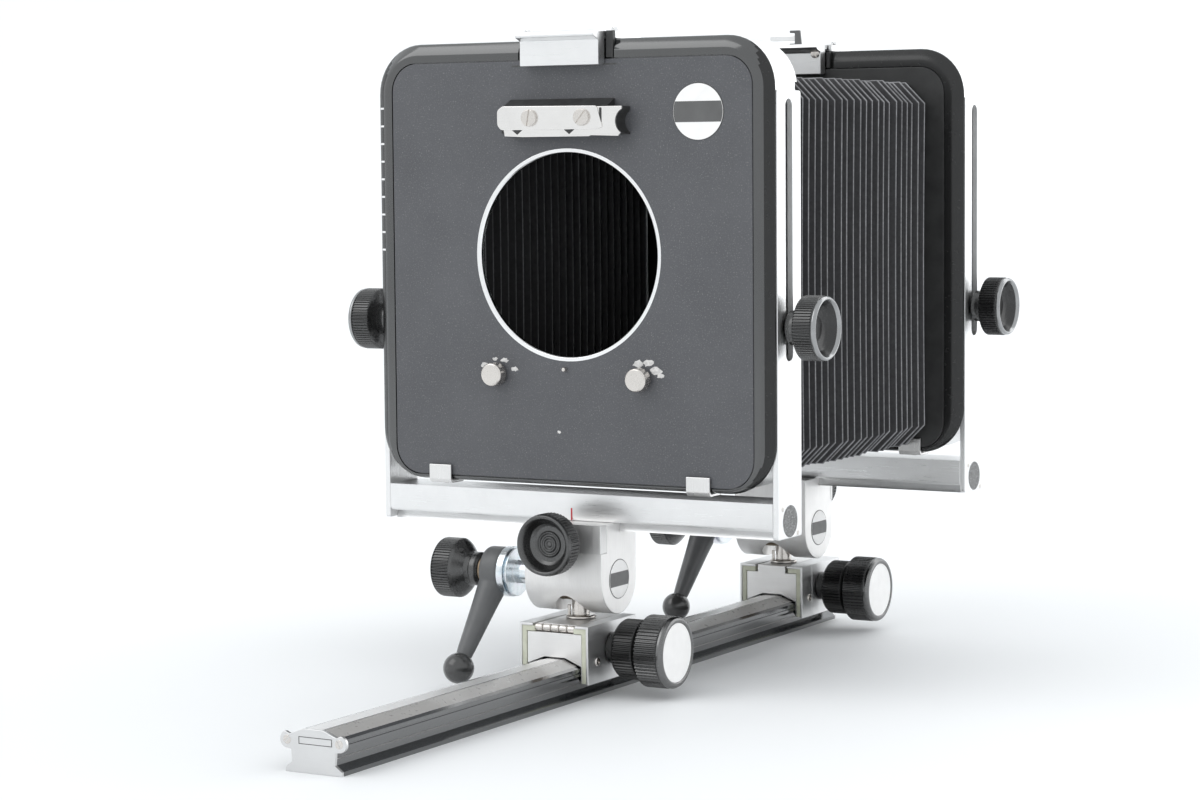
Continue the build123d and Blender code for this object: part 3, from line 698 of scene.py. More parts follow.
def make_carrier(which):
    yc = CARRIER_Y[which]
    low, high = cad(f"{which}_carrier_shell")
    length = high.y - low.y
    body = f"{which}_carrier"
    slot = SHELL_SLOT[which]
    step_x = slot - 1.0

    halves = []
    for side in (-1, 1):
        outline = hook_outline(SHELL["half"], SHELL["wall"], SHELL["low"], SHELL["high"], slot, side)
        half = plate("shell_half", [outline], length, front_plane(high.y), edge=0.3)
        if side > 0:
            bore = lathe("bore", (10, yc, PINION_Z), (1, 0, 0), [(0, 0), (0, 3.2), (10, 3.2), (10, 0)])
            cut(half, bore)
            if which == "rear":
                seam = bar("seam", Vector((16.4, yc - 9.6, 18.5)), Vector((0, 0, 1)), 0, (0.5, 0.3, 26))
                cut(half, seam)
        halves.append(look(half, "satin_y"))
    place(join(f"{which}_shell", halves), body, f"{which}_carrier_shell")

    inner = SHELL["half"] - SHELL["wall"]
    top = SHELL["high"] - SHELL["wall"]
    liner_parts = []
    for side in (-1, 1):
        outline = [(inner, 6.9), (inner, top), (slot - 0.9, top), (slot - 0.9, top - 2.2),
            (inner - LINER_WALL, top - 2.2), (inner - LINER_WALL, 6.9)]
        if which == "rear":
            outline[2:4] = [(slot + 0.4, top), (slot + 0.4, top - 2.2)]
        outline = [(side * x, z) for x, z in outline]
        liner_parts.append(sheet("liner", [outline], length - 0.6, front_plane(high.y - 0.3), 0.25))
    arch = [(12.9, 6.9), (12.9, top - 2.4), (step_x, top - 2.4), (step_x, SHELL["high"] - 0.15)]
    tunnel = [(4.6, 16.9), (12.6, 13.7), (12.6, 6.9)]
    section = arch + [(-x, z) for x, z in reversed(arch)] + [(-x, z) for x, z in reversed(tunnel)] + tunnel
    nose = 2.6 if which == "front" else 0.0
    insert = plate("insert", [section], length - 1.2 - nose, front_plane(high.y - 0.6), 0.2)
    knuckles = []
    if which == "front":
        low_section = [point for point in section if abs(point[0]) != step_x]
        lip = plate("insert_lip", [low_section], nose + 0.3, front_plane(low.y + 0.9 + nose), 0.2)
        knuckles.append(look(lip, "insert"))
        for i in range(5):
            start = (-9.6 + 3.86 * i, low.y + 2.2, SHELL["high"] - 1.75)
            knuckle = lathe("knuckle", start, (1, 0, 0), [(0, 0), (0, 1.6), (3.7, 1.6), (3.7, 0)],
                steps=32, soft=0.6)
            knuckles.append(look(knuckle, "nickel"))
    parts = liner_parts + [look(insert, "insert")] + knuckles
    place(join(f"{which}_core", parts), body, f"{which}_carrier_core")

    screws = []
    for side in (-1, 1):
        outline = soften([(-0.6, 0), (-0.6, 1.3), (0, 1.9), (0.55, 1.6), (0.55, 0)], 0.2)
        head = lathe("screw", (side * SHELL["half"], yc - 12.5, 15.2), (side, 0, 0), outline, steps=40)
        for turn in (20, 110):
            blade = bar("cross", Vector((side * (SHELL["half"] + 0.5), yc - 12.5, 15.2)),
                Vector((side, 0, 0)), turn, (2.2, 0.5, 0.7))
            cut(head, blade)
        screws.append(look(head, "nickel"))
    place(join(f"{which}_side_screws", screws), body, f"{which}_carrier_screws")
    make_focus_drive(which, yc)


def make_focus_drive(which, yc):
    centre = (0, yc, PINION_Z)
    shaft = lathe(f"{which}_pinion_shaft", centre, (1, 0, 0),
        [(-9.5, 0), (-9.5, 2.9), (38.0, 2.9), (38.0, 0)], soft=0.3)
    place(look(shaft, "nickel"), f"{which}_focus_knob", f"{which}_focus_shaft")

    knob_outline = soften([(33.4, 3.0), (33.4, 11.2), (33.8, 13.6), (34.2, 14.4), (34.5, 15.0, 1),
        (44.3, 15.0, 1), (44.6, 14.5), (44.9, 14.4), (44.9, 3.0)], 0.25, closed=True)
    knob = turned("knob", centre, (1, 0, 0), knob_outline, teeth=58, depth=0.55)
    edge_outline = soften([(44.8, 11.9), (44.8, 14.9), (46.0, 14.85), (47.0, 14.3), (47.25, 13.6),
        (47.25, 12.6), (46.8, 12.2), (46.8, 11.9)], 0.3, closed=True)
    edge = turned("bevel", centre, (1, 0, 0), edge_outline, steps=96)
    face = turned("enamel", centre, (1, 0, 0), [(46.0, 0), (46.0, 12.3), (46.9, 12.3), (46.9, 0)],
        soft=0.2)
    place(join(f"{which}_focus_grip", [knob, edge, face]), f"{which}_focus_knob", f"{which}_focus_knob")

    ring_outline = soften([(16.6, 3.0), (16.6, 6.6), (21.1, 6.6), (21.1, 9.4), (22.0, 11.6),
        (22.7, 12.0), (23.2, 12.5, 1), (31.3, 12.5, 1), (31.8, 12.2), (32.4, 11.4), (33.0, 10.2),
        (33.0, 3.0)], 0.25, closed=True)
    ring = look(lathe(f"{which}_lock_grip", centre, (1, 0, 0), ring_outline, teeth=52, depth=0.5), "grip")
    place(ring, f"{which}_lock_ring", f"{which}_lock_ring")


# ---- neck, tilt block, lever and clamping knobs ----------------------------------------------


def make_neck(which):
    yn = NECK_Y[which]
    post = lathe("post", (0, yn, 0), (0, 0, 1), [(25.2, 0), (25.2, 3.7), (30.75, 3.7), (30.75, 6.4),
        (31.6, 6.4), (31.9, 5.6), (32.0, 3.7), (42.0, 3.7), (42.0, 0)], soft=0.25)
    pin = lathe("pin", (-4.9, yn - 1.2, 30.7), (0, 0, 1), [(0, 0), (0, 0.7), (5.2, 0.7), (5.2, 0)],
        steps=24, soft=0.2)
    drum = lathe("drum", (0, yn, TILT_Z), (1, 0, 0), [(-13, 4.1), (-13, 10), (13, 10), (13, 4.1)],
        soft=0.4)
    parts = [look(post, "nickel"), look(pin, "nickel"), look(drum, "brass")]
    place(join(f"{which}_neck_post", parts), f"{which}_swing_neck", f"{which}_neck")


JAW_PLATE = {"front": 5.2, "rear": 2.4}  # thickness of the clamp jaw


def make_tilt_block(which):
    ys, yn, side = STANDARD_Y[which], NECK_Y[which], KNOB_SIDE[which]
    body = f"{which}_tilt_head"
    low, high = cad(f"{which}_tilt_block")
    block_r, half_x, top = 14.6, high.x, 67.85
    hook_top = high.z
    near, far = yn + side * block_r, yn - side * block_r
    jaw_low, jaw_high = cad(f"{which}_shift_jaw")
    jaw_root = yn + side * (block_r + 0.6 - JAW_PLATE[which])

    bowl = arc((yn, TILT_Z), block_r, 180, 360, 40)
    if side < 0:
        outline = bowl + [(far, hook_top), (ys + 4.65, hook_top), (ys + 6.15, top), (ys - 6.15, top),
            (ys - 4.65, hook_top), (jaw_root, hook_top), (jaw_root, jaw_low.z), (near, jaw_low.z)]
    else:
        outline = bowl + [(near, jaw_low.z), (jaw_root, jaw_low.z), (jaw_root, hook_top),
            (ys + 4.65, hook_top), (ys + 6.15, top), (ys - 6.15, top), (ys - 4.65, hook_top),
            (far, hook_top)]
    block = plate("block", [outline], 2 * half_x, right_plane(-half_x), edge=0.35)
    drum_bore = lathe("drum_bore", (0, yn, TILT_Z), (1, 0, 0),
        [(-13.3, 0), (-13.3, 10.1), (13.3, 10.1), (13.3, 0)], steps=48)
    mouth = [(x, yn + y) for x, y in round_rect(7.6, (-13.0, 11.0), 7.5, steps=12)]
    opening = plate("opening", [mouth], 20, top_plane(TILT_Z - 20), edge=0.05)
    spindle_bore = lathe("spindle_bore", (-19, yn, TILT_Z), (1, 0, 0),
        [(0, 0), (0, 4.05), (34, 4.05), (34, 0)], steps=32)
    cut(block, opening, drum_bore, spindle_bore)
    badge_parts = badge(f"{which}_side_badge", (half_x - 0.15, yn, TILT_Z), (1, 0, 0), 8.0, (0, 0, 1))
    place(join(f"{which}_head", [look(block, "block")] + badge_parts), body, f"{which}_tilt_block")

    seat = jaw_high.y if side > 0 else jaw_low.y
    jaw_outline = [(jaw_root, jaw_low.z), (seat, jaw_low.z), (seat, hook_top), (jaw_root, hook_top)]
    jaw = plate("jaw", [jaw_outline], 2 * jaw_high.x, right_plane(jaw_low.x), edge=0.4)
    stem_bore = lathe("stem_bore", (0, jaw_root - side * 3, SHIFT_KNOB_Z), (0, side, 0),
        [(0, 0), (0, 3.1), (30, 3.1), (30, 0)], steps=32)
    place(look(cut(jaw, stem_bore), "jaw"), body, f"{which}_shift_jaw")
    jaw.name = f"{which}_clamp_jaw"

    centre = (0, yn, TILT_Z)
    spindle = look(lathe("spindle", centre, (-1, 0, 0), [(-15.9, 0), (-15.9, 3.95), (18.4, 3.95),
        (18.4, 4.8), (30.4, 4.8), (30.4, 10.3), (31.0, 10.3), (31.4, 9.0), (32.0, 8.6), (32.2, 10.7),
        (35.3, 10.7), (35.3, 4.0), (44.9, 4.0), (44.9, 4.6), (56.0, 4.0), (56.0, 0)], soft=0.2), "zinc")
    place(spindle, body, f"{which}_tilt_spindle")
    spindle.name = f"{which}_spindle"


def make_lever(which):
    yn = NECK_Y[which]
    hub = Vector((-40.2, yn, TILT_Z))
    ball = Vector((-43.0, yn - 28.2, TILT_Z - 38.0))
    arm = ball - hub
    reach = arm.length
    neck_r = 3.3
    blob = [turned("lever", hub, arm, [(0, 0), (0, 6.4), (8, 6.2), (16, 5.4), (reach - 9, 3.7),
        (reach - 5.2, neck_r), (reach - 3.0, neck_r), (reach - 3.0, 0)]),
        turned("lever", hub, (1, 0, 0), [(-4.4, 0), (-4.4, 9.4), (-3.6, 10.2), (3.8, 10.2), (4.6, 9.6),
        (4.6, 0)], soft=0.8)]
    casting = join("casting", blob)
    remesh = casting.modifiers.new("cast", "REMESH")
    remesh.mode = "VOXEL"
    remesh.voxel_size = 0.42 * MM
    blur = casting.modifiers.new("soft", "SMOOTH")
    blur.factor = 0.5
    blur.iterations = 14
    mesh = final_mesh(casting)
    casting.modifiers.clear()
    casting.data = mesh
    bore = lathe("bore", (-60, yn, TILT_Z), (1, 0, 0), [(0, 0), (0, 4.1), (40, 4.1), (40, 0)], steps=48)
    cut(casting, bore)
    look(casting, "lever")
    knob = turned("ball", ball, arm, arc_outline(6.55), steps=48)
    place(join(f"{which}_lever_arm", [casting, knob]), f"{which}_lever", f"{which}_tilt_lever")


def arc_outline(radius, steps=24):
    """Half a circle as a lathe outline: a ball."""
    return [(-x, y) for x, y in arc((0, 0), radius, 0, 180, steps)]


def make_tilt_knob(which):
    yn = NECK_Y[which]
    centre = (0, yn, TILT_Z)
    outline = soften([(47.5, 4.1), (47.5, 5.9), (48.2, 6.5), (48.8, 7.2), (51.2, 7.2), (51.8, 6.6),
        (53.4, 7.4), (57.2, 11.6), (58.0, 12.2), (58.5, 12.7, 1), (66.3, 12.7, 1), (66.8, 12.4),
        (67.35, 11.7), (67.35, 4.0), (66.9, 3.4), (66.9, 2.0), (62, 2.0), (56.3, 4.1)], 0.25,
        closed=True)
    knob = turned("knob", centre, (-1, 0, 0), outline, teeth=60, depth=0.55)
    cap = turned("knob", centre, (-1, 0, 0), [(60.0, 0), (60.0, 3.9), (66.95, 3.9), (66.95, 0)],
        soft=0.3)
    hole_at = Vector(centre) + Vector((-55.4, -5.4, 8.2))
    socket = turned("trim", hole_at, (0.35, -0.6, 0.85), [(-1.2, 0), (-1.2, 1.0), (0.45, 1.0),
        (0.45, 0)], steps=24, soft=0.2)
    nut = turned("brass", centre, (-1, 0, 0), [(44.95, 4.1), (44.95, 5.9), (47.4, 5.9), (47.4, 4.1)],
        steps=36, soft=0.2)
    place(join(f"{which}_tilt_grip", [knob, cap, socket, nut]), f"{which}_tilt_knob", f"{which}_tilt_knob")


def make_shift_knob(which):
    yn, side = NECK_Y[which], KNOB_SIDE[which]
    low, high = cad(f"{which}_shift_knob")
    tip = abs((high.y if side > 0 else low.y) - yn)
    face = tip - 15.2
    outline = soften([(5.0, 0), (5.0, 3.0), (face, 3.0), (face, 7.0), (face + 4.6, 7.0),
        (face + 5.4, 11.4), (face + 6.2, 12.3), (face + 6.9, 12.9, 1), (face + 13.2, 12.9, 1),
        (face + 13.7, 12.6), (face + 15.0, 12.4), (face + 15.2, 11.8), (face + 15.0, 11.1),
        (face + 13.6, 10.2), (face + 10.4, 8.8), (face + 9.4, 7.4), (face + 9.4, 5.4),
        (face + 10.2, 5.1), (face + 10.2, 4.5), (face + 9.5, 4.2), (face + 9.5, 3.4),
        (face + 10.3, 3.1), (face + 10.3, 2.4), (face + 9.6, 2.1), (face + 9.6, 1.3),
        (face + 10.1, 1.0), (face + 10.1, 0)], 0.3)
    knob = lathe(f"{which}_shift_grip", (0, yn, SHIFT_KNOB_Z), (0, side, 0), outline, teeth=54, depth=0.55)
    place(look(knob, "knob"), f"{which}_shift_knob", f"{which}_shift_knob")


# ---- U-shaped standards ---------------------------------------------------------------------


def make_standard(which):
    ys = STANDARD_Y[which]
    body = f"{which}_standard"
    low, high = cad(f"{which}_crossbar")
    half_y = (high.y - low.y) / 2
    lip_z, root_z = low.z, 71.8
    outline = [(ys - half_y, root_z + 1.2), (ys - half_y + 0.8, root_z), (ys - 4.5, root_z),
        (ys - 6.0, lip_z), (ys + 6.0, lip_z), (ys + 4.5, root_z), (ys + half_y - 0.8, root_z),
        (ys + half_y, root_z + 1.2), (ys + half_y, high.z), (ys - half_y, high.z)]
    beam = sheet("satin_x", [outline], high.x - low.x, right_plane(low.x), edge=0.3)
    line = plate("index", [box_outline((-1.75, -1.05), (root_z + 0.2, root_z + 5.2))], 0.12,
        front_plane(ys - half_y + 0.02), edge=0.02)
    place(join(f"{which}_beam", [beam, look(line, "red")]), body, f"{which}_crossbar")

    left, right = cad(f"{which}_uprights")
    thick = 2.5
    depth = right.y - left.y
    parts = []
    for side in (-1, 1):
        x = right.x - thick if side > 0 else left.x
        wall = box_outline((left.y, right.y), (left.z, right.z), 1.2)
        slot = slot_outline(ys, (140.1, 245.1), 3.1)
        arm = sheet("satin_z", [wall, slot], thick, right_plane(x), edge=0.35)
        # Painted shade: the slot's inner walls are painted flat mid grey for the shade inside the slot.
        arm.data.materials.append(LOOKS["slot"])
        for face in arm.data.polygons:
            inside = abs(face.center.y / MM - ys) < 3.3 and 137.0 < face.center.z / MM < 248.0
            if inside and abs(face.normal.x) < 0.3:
                face.material_index = 1
        parts.append(arm)
        outer = side * right.x
        disc = lathe("disc", (outer - side * 0.3, ys, 75.4), (side, 0, 0),
            [(0, 0), (0, 6.6), (0.42, 6.5), (0.42, 0)], soft=0.15)
        parts.append(look(disc, "speckle"))
        for dy, dz in ((-depth * 0.32, 5.4), (depth * 0.32, -5.4)):
            parts.append(slotted_screw("pin", (outer - side * 0.3, ys + side * dy, 75.4 + dz),
                (side, 0, 0), 1.05, 0.42, 30))
    place(join(f"{which}_arms", parts), body, f"{which}_uprights")


# ---- format frames --------------------------------------------------------------------------

FRAME_HALF, FRAME_Z, FRAME_R = 94.0, (86.5, 270.7), 21.0
BOARD_HALF, BOARD_Z, BOARD_R = 85.5, (88.8, 262.5), 12.0
EDGE_WIDE = 6.6  # how far the rounding of the rim's front edge reaches inward
# How far in from the side, and back from the face, the rounding passes.
RIM_EDGE = [(0.0, 3.35), (0.08, 3.15), (0.35, 2.8), (0.8, 2.4), (1.4, 1.95), (2.1, 1.43), (2.9, 0.9),
            (3.7, 0.45), (4.5, 0.16), (5.3, 0.04), (EDGE_WIDE, 0.0)]


def make_rim(which):
    """The black front rim: a broad rounded edge and a step that holds the board or bellows."""
    ys = STANDARD_Y[which]
    face, back, seat = ys - RIM_FACE, ys - BAND_HALF, ys - BOARD_SEAT
    rounding = [(inset, face + sink) for inset, sink in RIM_EDGE]
    loops = []
    steps = 12
    for inset, y in [(0.0, back)] + rounding:
        low = FRAME_Z[0] + inset * (BOARD_Z[0] - 0.6 - FRAME_Z[0]) / EDGE_WIDE
        outline = round_rect(FRAME_HALF - inset, (low, FRAME_Z[1] - inset), FRAME_R - inset, steps)
        loops.append([(x, y, z) for x, z in outline])
    well = round_rect(BOARD_HALF + 0.35, (BOARD_Z[0] - 0.35, BOARD_Z[1] + 0.35), BOARD_R + 0.35, steps)
    window = round_rect(73.0, (97.0, 249.0), 2.0, steps)
    loops.append([(x, face, z) for x, z in well])
    loops.append([(x, seat, z) for x, z in well])
    loops.append([(x, seat, z) for x, z in window])
    loops.append([(x, back, z) for x, z in window])
    rim = rings("rim", loops, closed=True)
    reach = cad(f"{which}_board_lock")[1].x + 0.2
    gap = plate("gap", [box_outline((-reach, reach), (261.5, 274.0))], seat - face + 2,
        front_plane(seat), edge=0.05)
    cut(rim, gap)
    # Painted shade: the rim's sides, facing left and right, get the duller, darker copy of the black for
    # their dark reflection; the rear rim takes that copy all over.
    look(rim, "rim" if which == "front" else "rim_painted_shade")
    rim.data.materials.append(LOOKS["rim_painted_shade"])
    for polygon in rim.data.polygons:
        if abs(polygon.normal.x) > 0.42:
            polygon.material_index = 1
    parts = [rim]
    if which == "front":
        for i in range(9):
            z = 184.0 + 7.5 * i
            crest = [(inset - FRAME_HALF, y) for inset, y in rounding[3:8]]
            outline = [(x, y - 0.05) for x, y in crest] + [(x, y + 0.15) for x, y in reversed(crest)]
            mark = plate("mark", [outline], 0.8, top_plane(z - 0.4), edge=0.02)
            parts.append(look(mark, "tick"))
    place(join(f"{which}_rim", parts), f"{which}_format_frame", f"{which}_frame_rim")


def make_band(which):
    """The bright band behind the rim, flattened where the uprights run."""
    ys = STANDARD_Y[which]
    half, z, radius = FRAME_HALF - 1, (FRAME_Z[0] + 1, FRAME_Z[1] - 1), FRAME_R - 1
    front, back, wall = ys - BAND_HALF, ys + BAND_HALF, 3.0
    profile = [(0.5, front), (0.0, front + 0.5), (0.0, back - 0.5), (0.5, back), (wall, back),
        (wall, front)]
    band = surround("band", profile, half, z, radius, steps=14)
    web_profile = [(wall - 0.5, back - 2.0), (wall - 0.5, back), (18.5, back), (18.5, back - 2.0)]
    web = surround("web", web_profile, half, z, radius, steps=14)
    cutters = []
    for side in (-1, 1):
        x = sorted((side * 91.7, side * 96.0))
        cutters.append(plate("flat", [box_outline(x, (80.0, 252.0))], 30, front_plane(back + 3),
            edge=0.05))
    cut(band, *cutters)
    parts = [look(band, "satin_z"), look(web, "trim")]
    place(join(f"{which}_band", parts), f"{which}_format_frame", f"{which}_frame_band")


def make_locks(which):
    """The slider that holds the board, with its thumb ledge, its dark cheeks and its bed."""
    ys = STANDARD_Y[which]
    face = ys - RIM_FACE
    top = FRAME_Z[1]
    half = cad(f"{which}_lock_slider")[1].x
    end = ys + 9.0
    body = f"{which}_format_frame"
    parts = []
    for side in (-1, 1):
        x = sorted((side * (half + 0.35), side * (half + (3.6 if which == "front" else 2.0))))
        cheek_top = top + 3.2 if which == "front" else top - 0.3
        cheek = soften([(face + 0.02, 262.9), (face + 0.02, cheek_top), (face + 2.3, cheek_top),
            (face + 2.3, 262.9)], 0.5, closed=True)
        parts.append(sheet("trim", [cheek], x[1] - x[0], right_plane(x[0]), 0.2))
        wing = [(face + 2.4, top + 0.15), (face + 2.4, top + 3.2), (end, top + 2.0), (end, top - 0.9),
            (face + 9.2, top - 0.9), (face + 9.2, top + 0.15)]
        parts.append(sheet("satin_x", [wing], x[1] - x[0], right_plane(x[0]), 0.2))
        parts.append(slotted_screw("bed_screw", (side * (half + 2.1), face + 4.9, top + 3.0), (0, 0, 1),
            1.6, 1.6, 40, "bright"))
    bed = [(face + 9.2, top - 0.9), (end, top - 0.9), (end, top + 2.0), (face + 9.2, top + 2.6)]
    parts.append(sheet("satin_x", [bed], 2 * half + 0.6, right_plane(-half - 0.3), 0.25))
    place(join(f"{which}_lock_cheeks", parts), body, f"{which}_board_lock")

    ledge = cad(f"{which}_lock_slider")[0].y
    flap = soften([(face - 5.7, 260.0), (face - 5.7, top - 0.5), (ledge + 0.7, top + 0.7),
        (ledge, top + 1.7), (ledge + 0.9, top + 3.3), (face + 8.5, top + 3.3), (face + 8.5, top + 0.9),
        (face - 0.4, top + 0.9), (face - 0.4, 260.6), (face - 2.2, 260.0)], 0.5, closed=True)
    slider = [sheet("satin_x", [flap], 2 * half, right_plane(-half), 0.25)]
    if which == "rear":
        for x in (-half + 2.6, half - 2.6):
            slider.append(slotted_screw("slider_screw", (x, face - 5.6, 269.6), (0, -1, 0), 2.1, 0.7, 70))
    place(join(f"{which}_lock_flap", slider), f"{which}_lock_slider", f"{which}_lock_slider")


def make_top_hook():
    """The small C-shaped catch on top of the rear frame, its front end painted dark as shade."""
    low, high = cad("rear_hook")
    right, base, top = high.x, low.z, high.z
    left = right - 6.0
    web = right - 3.4
    outline = soften([(left, base), (right, base), (right - 0.8, top), (left, top), (left, top - 1.2),
        (web, top - 1.2), (web, base + 1.2), (left, base + 1.2)], 0.35, closed=True)
    front = low.y + 1.2
    catch = sheet("satin_y", [outline], high.y - front, front_plane(high.y), edge=0.25)
    # Painted shade: a thin cap of dark lever grey on the front end face stands in for the shade on that
    # face.
    end = sheet("lever", [outline], 1.2, front_plane(front), edge=0.2)
    tongue = box_outline((low.x, web + 0.6), (base + 2.6, base + 5.0), 0.6)
    pin = sheet("satin_x", [tongue], 3.0, front_plane(low.y + 5.0), edge=0.3)
    place(join("top_hook", [catch, end, pin]), "rear_format_frame", "rear_hook")


SINK = 1.6  # a frame can sink this far towards its crossbar, with a little to spare


def make_clips(which):
    ys = STANDARD_Y[which]
    face = ys - RIM_FACE
    low, high = cad(f"{which}_clips")
    drop = low.z - cad(f"{which}_crossbar")[1].z - SINK
    parts = []
    centres = (low.x + 5.4, high.x - 5.4)
    for x in centres:
        outline = soften([(face - 1.6, high.z), (face - 1.6, low.z + 1.6), (face - 0.4, low.z),
            (ys - 6.0, low.z), (ys - 6.0, low.z + 1.1), (face + 0.2, low.z + 1.1),
            (face - 0.6, low.z + 2.0), (face - 0.6, high.z)], 0.5, closed=True)
        parts.append(sheet("clip", [outline], 10.8, right_plane(x - 5.4), 0.2))
        rivet = lathe("rivet", (x, face + 4.4, low.z), (0, 0, -1),
            [(0, 0), (0, 1.7), (drop, 1.4), (drop, 0)], steps=32, soft=0.4)
        parts.append(look(rivet, "nickel"))
    place(join(f"{which}_board_clips", parts), f"{which}_format_frame", f"{which}_clips")


def make_rise_knobs(which):
    ys = STANDARD_Y[which]
    bolt_parts = []
    for name, side in (("left", -1), ("right", 1)):
        centre = (0, ys, RISE_Z)
        outline = soften([(94.95, 3.0), (94.95, 6.2), (95.6, 6.9), (97.5, 7.2), (100.4, 7.0),
            (100.7, 6.8), (101.0, 11.0), (101.4, 12.4), (101.8, 13.15, 1), (109.4, 13.15, 1),
            (109.6, 12.6), (110.0, 12.5), (110.0, 11.2), (105.6, 9.6), (105.0, 3.0)], 0.28, closed=True)
        knob = turned("knob", centre, (side, 0, 0), outline, teeth=66, depth=0.55)
        edge_outline = soften([(109.9, 10.9), (109.9, 12.8), (110.4, 13.0), (111.2, 12.8),
            (111.75, 12.2), (111.7, 11.7), (111.1, 11.3), (110.4, 10.9)], 0.25, closed=True)
        edge = turned("burnish", centre, (side, 0, 0), edge_outline, steps=96)
        # Painted shade: the dish inside the knob gets the darker ring black, for the shade in its hollow.
        dish_outline = soften([(105.1, 0), (106.3, 0), (106.3, 5.4), (106.9, 7.6), (108.0, 9.2),
            (110.4, 10.95), (110.4, 11.3), (109.7, 11.3), (105.5, 9.4), (105.1, 8.0)], 0.4)
        dish = turned("grip", centre, (side, 0, 0), dish_outline, steps=96)
        place(join(f"{which}_rise_grip_{name}", [knob, edge, dish]), f"{which}_rise_knob_{name}",
            f"{which}_rise_knob_{name}")
        bolt = lathe("bolt", centre, (side, 0, 0), [(88.0, 0), (88.0, 5.0), (89.9, 5.0), (89.9, 2.9),
            (104.8, 2.9), (105.0, 2.4), (105.0, 0)], steps=40, soft=0.25)
        bolt_parts.append(look(bolt, "trim"))
    place(join(f"{which}_bolts", bolt_parts), f"{which}_format_frame", f"{which}_rise_bolts")


# ---- lens board -----------------------------------------------------------------------------


def chip_outline(x, z, radius, seed):
    """A ragged spot of missing paint."""
    draw = random.Random(seed)
    steps = 14
    points = []
    for i in range(steps):
        angle = 2 * math.pi * i / steps
        wide = radius * draw.uniform(0.55, 1.1)
        tall = radius * 0.6 * draw.uniform(0.5, 1.1)
        points.append((x + wide * math.cos(angle), z + tall * math.sin(angle)))
    return points


def make_lens_board():
    face = STANDARD_Y["front"] - RIM_FACE
    thick = 2.3
    back = face + thick
    body = "front_format_frame"
    outline = round_rect(BOARD_HALF, BOARD_Z, BOARD_R, steps=12)
    hole = circle(0, LENS_HOLE_Z, LENS_HOLE_R + 1.9, steps=96)
    board = sheet("board", [outline, hole], thick, front_plane(back), edge=0.35)
    ring_outline = soften([(0, LENS_HOLE_R), (0, LENS_HOLE_R + 1.95),
        (thick + 0.12, LENS_HOLE_R + 1.95), (thick + 0.12, LENS_HOLE_R + 0.5),
        (thick - 0.5, LENS_HOLE_R)], 0.15, closed=True)
    ring = turned("bright", (0, back, LENS_HOLE_Z), (0, -1, 0), ring_outline, steps=128)
    parts = [board, ring]
    notch = plate("lock_line", [box_outline((-26.0, 24.0), (260.0, 260.7), 0.3)], 0.1,
        front_plane(face + 0.04), 0.02)
    parts.append(look(notch, "ink"))
    spots = [(-40.6, 136.0, 2.2), (-35.6, 138.6, 1.6), (-31.0, 138.2, 2.1), (-26.0, 134.6, 2.0),
        (33.0, 138.4, 3.0), (37.6, 138.6, 3.0), (41.2, 135.6, 3.2), (43.4, 133.6, 2.2),
        (-4.8, 109.0, 1.3)]
    for i, (x, z, radius) in enumerate(spots):
        spot = plate("chip", [chip_outline(x, z, radius, i)], 0.08, front_plane(face + 0.04), edge=0.02)
        parts.append(look(spot, "chip"))
    parts += badge("board_badge", (61.3, face + 0.1, 240.4), (0, -1, 0), 11.3, (0, 0, 1))
    place(join("front_board", parts), body, "lens_board")
    make_board_bracket(face, body)


